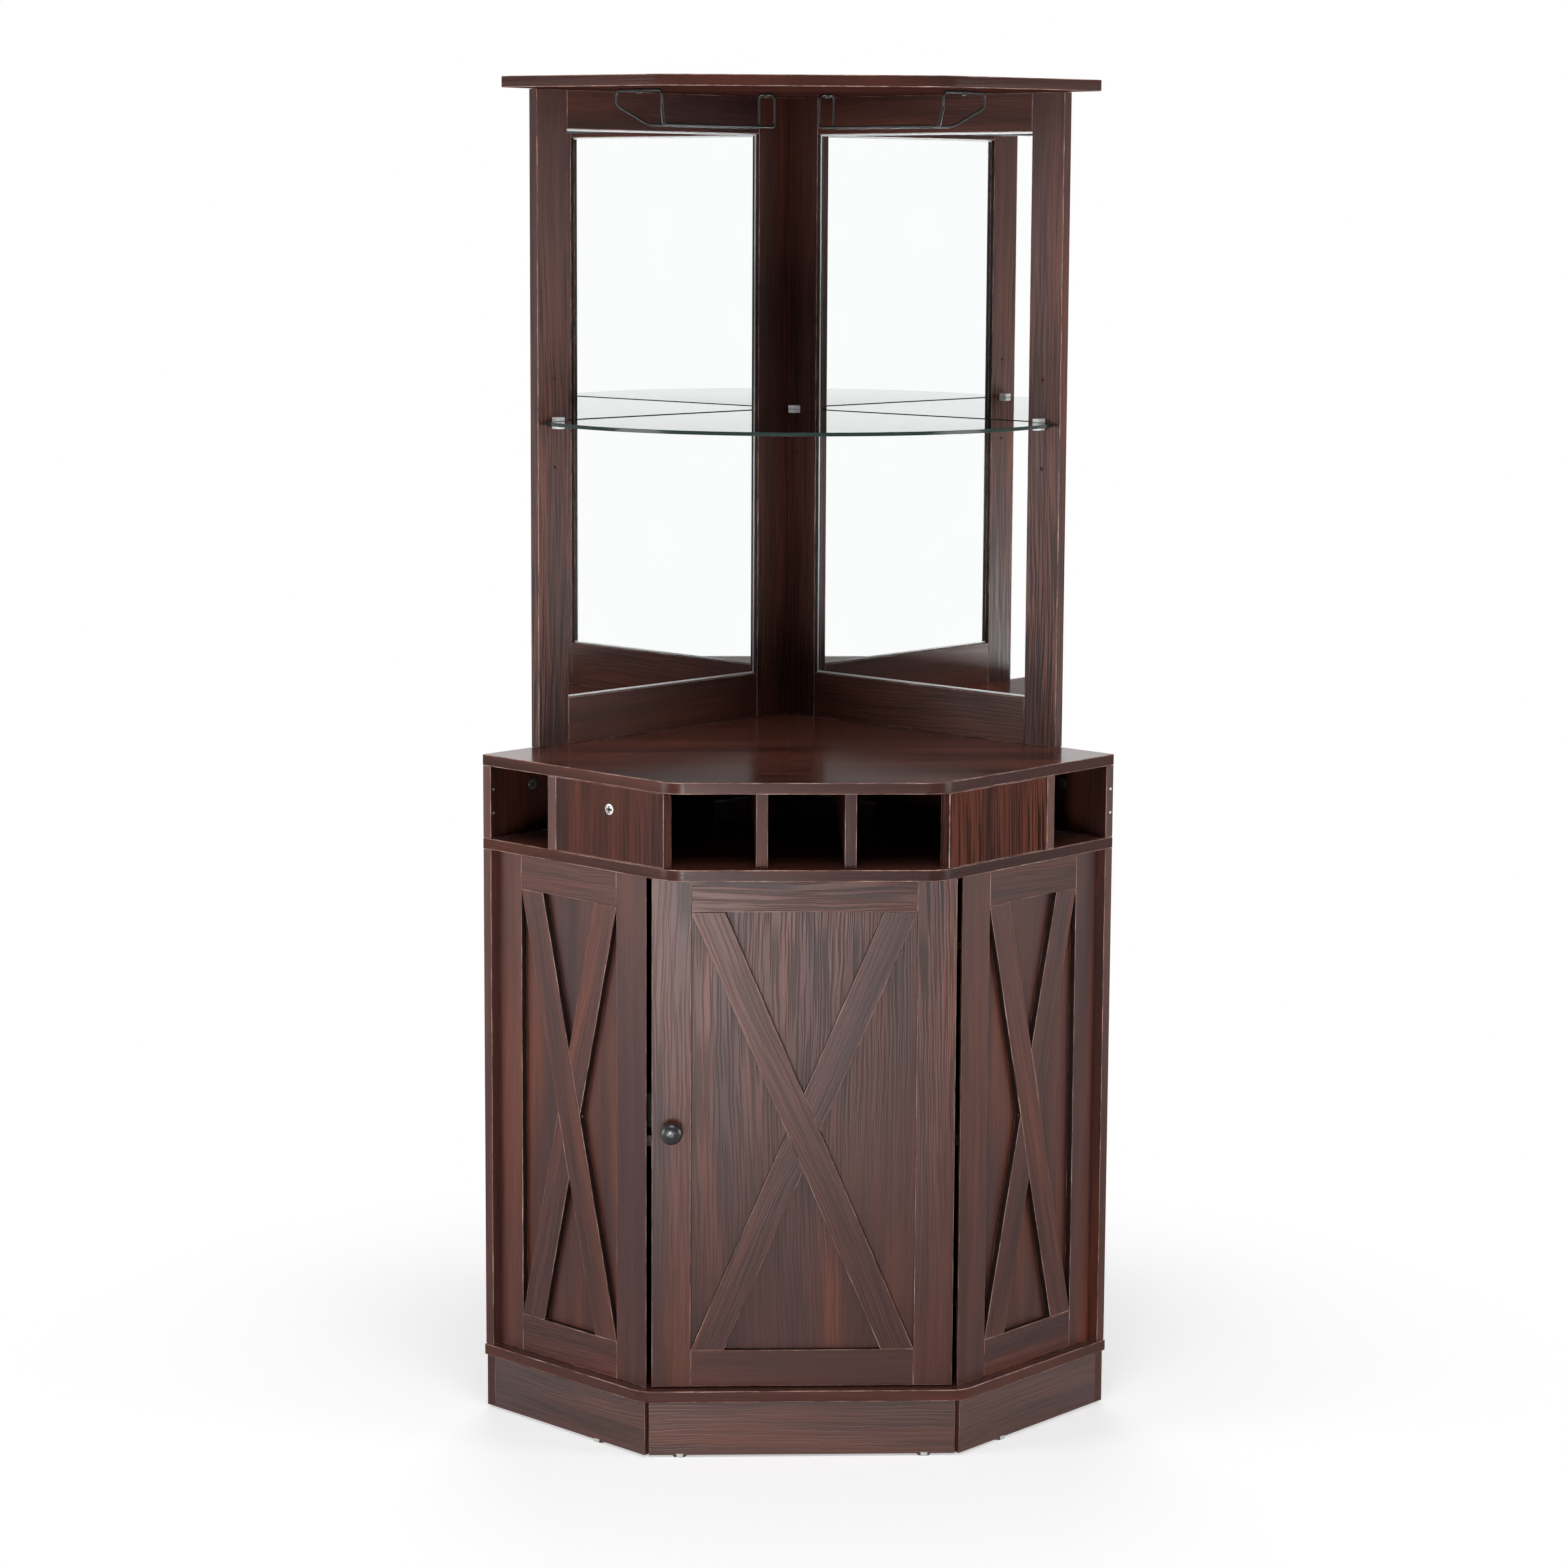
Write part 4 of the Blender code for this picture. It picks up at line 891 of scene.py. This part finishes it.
def cross_cut(piece, centre, outward, length, width, depth):
    """Cross recess pressed into a screw or lock head, with black plastic inside as painted shade.
    """
    turn = Vector(outward).to_track_quat("Z", "X").to_matrix().to_4x4()
    shape = bmesh.new()
    for across, high in ((length, width), (width, length)):
        sized = Matrix.Diagonal((across, high, depth * 2, 1.0))
        bmesh.ops.create_cube(shape, size=1.0, matrix=Matrix.Translation(centre) @ turn @ sized)
    name = piece.name + "_cross"
    tool = link_object(name, mesh_of(shape, name))
    cut = piece.modifiers.new("cross", "BOOLEAN")
    cut.solver = "EXACT"
    cut.use_self = True
    cut.object = tool
    baked = bpy.data.meshes.new_from_object(
        piece.evaluated_get(bpy.context.evaluated_depsgraph_get()))
    piece.modifiers.clear()
    piece.data = baked
    bpy.data.objects.remove(tool, do_unlink=True)
    # Black plastic inside the recess is painted shade
    baked.materials.append(BLACK_PLASTIC)
    for face in baked.polygons:
        offset = centre - face.center
        sunk = offset.dot(outward)
        aside = (offset - outward * sunk).length
        if sunk > depth * RECESS_START and aside < length * RECESS_REACH:
            face.material_index = 1


def headed(name, centre, outward, radius, height, body, material, node=None,
           shares=DOMED):
    """Round head with a cross recess, standing on its seat."""
    outward = Vector(outward).normalized()
    profile = [(radius * wide, height * far) for wide, far in shares]
    mesh = mesh_of(turned_shape(profile, centre, outward, HEAD_SIDES), name)
    mesh.materials.append(material)
    piece = link_object(name, mesh)
    top = Vector(centre) + outward * height
    cross_cut(piece, top, outward, radius * CROSS_LENGTH, radius * CROSS_WIDTH,
              height * CROSS_DEPTH)
    settle(piece, body)
    if node:
        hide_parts(node)


# Fasteners of the cubbies, by level and by distance along and off the room walls
CAM_RADIUS = 0.0075
CAM_LEVEL = 0.857
CAM_WALL_ALONG = 0.523
SCREW_ALONG = 0.5935
SCREW_LEVELS = (0.857, 0.825)
SCREW_RADIUS = 0.0022
SCREW_HEIGHT = 0.0010
EDGE_SCREW_ALONG = 0.5995
EDGE_SCREW_INWARD = 0.006
EDGE_SCREW_HEIGHT = 0.0008
LOCK_DISC_HEIGHT = 0.0016
LOCK_DEPTH = 0.012


def add_cubby_fasteners():
    """A lock disc and two small screws in each end cubby; the right screws sit on the edge."""
    for side, word in SIDES.items():
        seat = (*wall_xy(side, CAM_WALL_ALONG, BOARD + FIT_GAP), CAM_LEVEL)
        # Its dark material paints in a reflection of the shaded cubby
        headed(f"cubby_lock_disc_{word}", seat, wall_inward(side), CAM_RADIUS,
               LOCK_DISC_HEIGHT, "carcass", LOCK)
    for number, level in enumerate(SCREW_LEVELS, 1):
        inner = (*wall_xy(LEFT, SCREW_ALONG, BOARD), level)
        headed(f"cubby_screw_left_{number}", inner, wall_inward(LEFT), SCREW_RADIUS,
               SCREW_HEIGHT, "carcass", STEEL)
        outer = (*wall_xy(RIGHT, EDGE_SCREW_ALONG, EDGE_SCREW_INWARD), level)
        headed(f"cubby_screw_right_{number}", outer, wall_along(RIGHT), SCREW_RADIUS,
               EDGE_SCREW_HEIGHT, "carcass", STEEL)


def dress_filler_lock():
    """Lock disc flush in the left filler."""
    box_low, box_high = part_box("filler_cam_lock")
    centre = (Vector(box_low) + Vector(box_high)) / 2
    outward = wall_along(LEFT)
    start = centre - outward * LOCK_DEPTH / 2
    headed("filler_cam_lock_finished", start, outward, CAM_RADIUS, LOCK_DEPTH, "carcass",
           SATIN_STEEL, "filler_cam_lock", RINGED)


# Hutch

# Ground line of a mirror, and how far the mirror's face is off the room wall
BEAD_WIDTH = 0.0026
BEAD_RISE = 0.0003
BEAD_FOOT = 0.0001
MIRROR_FACE = 0.0082
# Share of a normal along a direction above which a face is the pane, not its edge
PANE_FACING = 0.98
MIRROR_SOFTENED = 0.0012
BACKING_SOFTENED = 0.0004
GLASS_SOFTENED = 0.0006
CLIP_SOFTENED = 0.0008


def alongs(side, node):
    """Distances of a node's corners along its wall."""
    return [(side * point.co.x + corner_y - point.co.y) * DIAGONAL
            for point in frame["nodes"][node].data.vertices]


def add_mirror_bead(side, word):
    """Bright ground line on three sides of the visible part of a mirror."""
    low_along = max(alongs(side, f"hutch_{word}_inner_post"))
    high_along = min(alongs(side, f"hutch_{word}_outer_post"))
    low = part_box(f"hutch_{word}_bottom_rail")[1][2]
    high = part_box(f"hutch_{word}_top_rail")[0][2]
    shape = bmesh.new()
    rows = []
    for lift, inset in ((BEAD_FOOT, FIT_GAP), (BEAD_RISE, FIT_GAP * 2),
                        (BEAD_RISE, BEAD_WIDTH - FIT_GAP), (BEAD_FOOT, BEAD_WIDTH)):
        corners = ((high_along - FIT_GAP, low + inset), (low_along + inset, low + inset),
                   (low_along + inset, high - inset), (high_along - FIT_GAP, high - inset))
        rows.append([shape.verts.new((*wall_xy(side, along, MIRROR_FACE + lift), level))
                     for along, level in corners])
    for first, second in zip(rows, rows[1:] + rows[:1]):
        for step in range(3):
            shape.faces.new((first[step], first[step + 1], second[step + 1], second[step]))
    for end in (0, 3):
        shape.faces.new([row[end] for row in rows])
    bmesh.ops.recalc_face_normals(shape, faces=shape.faces)
    plain_piece(f"mirror_{word}_bead", shape, RIM, "carcass")


def dress_mirrors():
    for side, word in SIDES.items():
        inward = wall_inward(side)

        def choose(face, inward=inward):
            return 0 if face.normal.dot(inward) > PANE_FACING else 1

        soft_copy(f"mirror_{word}", (MIRROR, RIM), MIRROR_SOFTENED, choose)
        soft_copy(f"mirror_backing_{word}", (BACKING,), BACKING_SOFTENED)
        add_mirror_bead(side, word)


def dress_glass():
    def choose(face):
        return 0 if abs(face.normal.z) > PANE_FACING else 1

    soft_copy("glass_shelf", (GLASS, GLASS_EDGE), GLASS_SOFTENED, choose)
    for word in ("left", "right", "corner"):
        soft_copy(f"shelf_support_{word}", (CLIP,), CLIP_SOFTENED)


# Wire racks: places along and off the room wall, the drop of the rails below the top bars,
# the rise of the knees over the rails, and how far from a corner its bend starts
RACK_OFFSET = 0.122
RACK_REAR = 0.180
RACK_FRONT = 0.395
RACK_HALF_GAP = 0.0145
RACK_MOUTH = 0.426
RACK_HALF_MOUTH = 0.0425
RACK_DROP = 0.044
RACK_KNEE = 0.025
RACK_BEND = 0.007
BEND_STEPS = 8
TAB_HALF_LONG = 0.008
TAB_HALF_WIDE = 0.0055
TAB_BELOW = 0.0006
TAB_ABOVE = 0.0010
TAB_SOFTENED = 0.0004
TAB_LEAST_EDGE = 0.001
RACK_SCREW_RADIUS = 0.004
RACK_SCREW_HEIGHT = 0.0038


def rack_path(side, bar_level):
    """Centre line of the bent wire, with its corners rounded."""
    rail = bar_level - RACK_DROP
    half = [(RACK_REAR, RACK_HALF_GAP, bar_level), (RACK_REAR, RACK_HALF_GAP, rail),
            (RACK_FRONT, RACK_HALF_GAP, rail), (RACK_MOUTH, RACK_HALF_MOUTH, rail + RACK_KNEE),
            (RACK_MOUTH, RACK_HALF_MOUTH, bar_level)]
    path = half + [(along, -aside, level) for along, aside, level in reversed(half)]
    corners = [Vector((*wall_xy(side, along, RACK_OFFSET + aside), level))
               for along, aside, level in path]
    bent = []
    for index, corner in enumerate(corners):
        before = corners[index - 1]
        after = corners[(index + 1) % len(corners)]
        start = corner + (before - corner).normalized() * RACK_BEND
        end = corner + (after - corner).normalized() * RACK_BEND
        for step in range(BEND_STEPS + 1):
            share = step / BEND_STEPS
            bent.append(start.lerp(corner, share).lerp(corner.lerp(end, share), share))
    return bent


def add_rack_wire(side, node, bar_level):
    """The bent wire as a round tube, in place of the node's plainer one."""
    curve = bpy.data.curves.new(node + "_wire", "CURVE")
    curve.dimensions = "3D"
    curve.bevel_depth = WIRE_RADIUS
    curve.bevel_resolution = 4
    points = rack_path(side, bar_level)
    line = curve.splines.new("POLY")
    line.points.add(len(points) - 1)
    for spot, point in zip(line.points, points):
        spot.co = (*point, 1.0)
    line.use_cyclic_u = True
    tube = link_object(node + "_tube", curve)
    bpy.context.view_layer.update()
    mesh = bpy.data.meshes.new_from_object(
        tube.evaluated_get(bpy.context.evaluated_depsgraph_get()))
    bpy.data.objects.remove(tube, do_unlink=True)
    mesh.materials.clear()
    mesh.materials.append(WIRE)
    wire = link_object(node + "_wire", mesh)
    settle(wire, "carcass")
    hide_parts(node)


def add_rack_tab(side, name, along, bar_level):
    """Flat tab under the top board, with its screw."""
    outline = [wall_xy(side, along + TAB_HALF_WIDE * forward, RACK_OFFSET + TAB_HALF_LONG * aside)
               for forward, aside in ((-1, -1), (1, -1), (1, 1), (-1, 1))]
    shape = prism_shape(outline, bar_level - TAB_BELOW, bar_level + TAB_ABOVE)
    bmesh.ops.recalc_face_normals(shape, faces=shape.faces)
    soften(shape, TAB_SOFTENED, TAB_LEAST_EDGE)
    for face in shape.faces:
        face.material_index = 0
    plain_piece(f"{name}_tab", shape, WIRE, "carcass")
    seat = (*wall_xy(side, along, RACK_OFFSET), bar_level - TAB_BELOW)
    headed(f"{name}_screw", seat, (0, 0, -1), RACK_SCREW_RADIUS, RACK_SCREW_HEIGHT, "carcass",
           WIRE)


def dress_racks():
    bar_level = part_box("top_board")[0][2] - FIT_GAP - WIRE_RADIUS
    for side, word in SIDES.items():
        node = f"glass_rack_{word}"
        add_rack_wire(side, node, bar_level)
        for part, along in (("rear", RACK_REAR), ("front", RACK_MOUTH)):
            add_rack_tab(side, f"{node}_{part}", along, bar_level)


# Hinges and catch

HINGE_SOFTENED = 0.0003
CATCH_SOFTENED = 0.0008
STRIKE_SOFTENED = 0.0002


def dress_hardware():
    for word in ("upper", "lower"):
        for part in ("cup", "arm", "plate"):
            soft_copy(f"hinge_{part}_{word}", (STEEL,), HINGE_SOFTENED)
    soft_copy("magnetic_catch", (BLACK_PLASTIC,), CATCH_SOFTENED)
    soft_copy("strike_plate", (STEEL,), STRIKE_SOFTENED)


# Studio

FAR_LIMIT = 50.0


def add_camera():
    data = bpy.data.cameras.new("photo_camera")
    data.sensor_width = SENSOR_MM
    data.lens = CAMERA_FOCAL_PIXELS / PHOTO_PIXELS * SENSOR_MM
    data.shift_y = CAMERA_SHIFT_Y
    data.clip_end = FAR_LIMIT
    camera = bpy.data.objects.new("photo_camera", data)
    forward = Vector((math.sin(CAMERA_YAW) * math.cos(CAMERA_PITCH),
                      math.cos(CAMERA_YAW) * math.cos(CAMERA_PITCH), -math.sin(CAMERA_PITCH)))
    level = Vector((math.cos(CAMERA_YAW), -math.sin(CAMERA_YAW), 0.0))
    upward = level.cross(forward)
    right = level * math.cos(CAMERA_ROLL) + upward * math.sin(CAMERA_ROLL)
    top = right.cross(forward)
    turn = Matrix((right, top, -forward)).transposed().to_4x4()
    camera.matrix_world = Matrix.Translation(CAMERA_PLACE) @ turn
    bpy.context.scene.collection.objects.link(camera)
    bpy.context.scene.camera = camera


def add_lamp(name, place, target, size, power, colour):
    data = bpy.data.lights.new(name, "AREA")
    data.shape = "RECTANGLE"
    data.size, data.size_y = size
    data.energy = power
    data.color = colour
    lamp = bpy.data.objects.new(name, data)
    lamp.location = place
    way = Vector(target) - Vector(place)
    lamp.rotation_euler = way.to_track_quat("-Z", "Y").to_euler()
    lamp.visible_camera = False
    bpy.context.scene.collection.objects.link(lamp)


def clear_nodes(owner, name):
    make = Nodes(name, owner)
    make.tree.nodes.clear()
    return make


def mirrored_rays(make, path):
    """1 for rays seen in metal or through glass, with no matt bounce before."""
    seen = make.math("MAXIMUM", path.outputs["Is Glossy Ray"], path.outputs["Is Transmission Ray"])
    return make.math("SUBTRACT", seen, path.outputs["Diffuse Depth"], clamp=True)


def glow(make, strength):
    """White emission; strength is a number or another node's output."""
    node = make.add("ShaderNodeEmission")
    if isinstance(strength, float):
        node.inputs["Strength"].default_value = strength
    else:
        make.link(strength, node.inputs["Strength"])
    return node.outputs[0]


def blended(make, share, first, second):
    node = make.add("ShaderNodeMixShader")
    make.link(share, node.inputs[0])
    make.link(first, node.inputs[1])
    make.link(second, node.inputs[2])
    return node.outputs[0]


# The world: light on matt faces, the dim part of a mirrored room, and where that part ends
AMBIENT = 0.10
STUDIO_DARK = 0.22
HORIZON_LOW = 0.045
HORIZON_HIGH = 0.12
BACKDROP_NEAR = 0.45
BACKDROP_FAR = 0.15


def add_world():
    """White all round for the eye, with a dim ceiling and front for reflections."""
    world = bpy.data.worlds.new("studio")
    bpy.context.scene.world = world
    make = clear_nodes(world, "studio")
    path = make.add("ShaderNodeLightPath")
    split = make.add("ShaderNodeSeparateXYZ")
    make.link(make.add("ShaderNodeTexCoord").outputs["Generated"], split.inputs[0])
    raised = make.spread(split.outputs["Z"], HORIZON_LOW, HORIZON_HIGH, kind="SMOOTHSTEP")
    front = make.spread(split.outputs["Y"], BACKDROP_NEAR, BACKDROP_FAR, kind="SMOOTHSTEP")
    unseen = make.math("SUBTRACT", 1.0, path.outputs["Is Camera Ray"])
    dim = make.math("MULTIPLY", make.math("MULTIPLY", raised, front), unseen)
    level = make.spread(dim, 0.0, 1.0, 1.0, STUDIO_DARK)
    shown = make.math("MAXIMUM", mirrored_rays(make, path), path.outputs["Is Camera Ray"])
    out = make.add("ShaderNodeOutputWorld")
    make.link(blended(make, shown, glow(make, AMBIENT), glow(make, level)), out.inputs[0])


# The floor: its shadow area fades to plain white between two distances, further for mirrors
FLOOR_HALF = 40.0
FLOOR_DROP = 0.0002
FLOOR_COLOUR = (0.75, 0.75, 0.75, 1.0)
FLOOR_LIFT = 0.46
FADE_START = 0.42
FADE_END = 1.2
MIRROR_FADE_START = 2.4
MIRROR_FADE_END = 3.6


def add_floor():
    """Pale floor that keeps the shadow and fades into the white backdrop."""
    mesh = bpy.data.meshes.new("studio_floor")
    reach = FLOOR_HALF
    mesh.from_pydata([(-reach, -reach, 0), (reach, -reach, 0), (reach, reach, 0),
                      (-reach, reach, 0)], [], [(0, 1, 2, 3)])
    floor = link_object("studio_floor", mesh)
    floor.location.z = -FLOOR_DROP
    make = clear_nodes(None, "studio_floor")
    path = make.add("ShaderNodeLightPath")
    camera = path.outputs["Is Camera Ray"]
    matt = make.add("ShaderNodeBsdfDiffuse")
    matt.inputs["Color"].default_value = FLOOR_COLOUR
    near = make.add("ShaderNodeAddShader")
    make.link(matt.outputs[0], near.inputs[0])
    make.link(glow(make, make.math("MULTIPLY", camera, FLOOR_LIFT)), near.inputs[1])
    distance = make.add("ShaderNodeVectorMath", operation="LENGTH")
    make.link(make.add("ShaderNodeTexCoord").outputs["Object"], distance.inputs[0])
    away = distance.outputs["Value"]
    for_eye = make.math("MULTIPLY", camera,
                        make.spread(away, FADE_START, FADE_END, kind="SMOOTHSTEP"))
    for_mirror = make.math(
        "MULTIPLY", mirrored_rays(make, path),
        make.spread(away, MIRROR_FADE_START, MIRROR_FADE_END, kind="SMOOTHSTEP"))
    shown = make.math("MAXIMUM", for_eye, for_mirror)
    out = make.add("ShaderNodeOutputMaterial")
    make.link(blended(make, shown, near.outputs[0], glow(make, 1.0)), out.inputs[0])
    mesh.materials.append(make.material)


WHITE = (1.0, 1.0, 1.0)
COOL_WHITE = (0.92, 0.96, 1.0)

# Softboxes: place, target, size, watts, colour
LAMPS = {
    "low_softbox": ((-0.5, -3.2, 0.33), (0, -0.3, 0.55), (0.5, 0.4), 30, WHITE),
    "floor_softbox": ((-0.55, -3.0, 0.03), (-0.55, -3.0, 1.0), (1.3, 1.6), 68, COOL_WHITE),
    "left_softbox": ((-3.0, -1.15, 1.0), (0, 0, 0.9), (1.2, 1.4), 44, WHITE),
    "right_softbox": ((3.0, -1.15, 1.0), (0, 0, 0.9), (1.2, 1.4), 38, WHITE),
    "top_softbox": ((0, -1.8, 3.6), (0, 0, 0.9), (2.0, 2.0), 46, WHITE),
    "back_softbox": ((0, 3.4, 2.6), (0, 0, 1.0), (2.4, 1.2), 46, WHITE),
}


def add_studio():
    add_camera()
    add_world()
    add_floor()
    for name, settings in LAMPS.items():
        add_lamp(name, *settings)
    bpy.context.scene.view_settings.view_transform = "Standard"


dress_boards()
dress_braces()
dress_door_frame()
dress_side_frames()
dress_knob()
add_cubby_fasteners()
dress_filler_lock()
dress_mirrors()
dress_glass()
dress_racks()
dress_hardware()
add_studio()
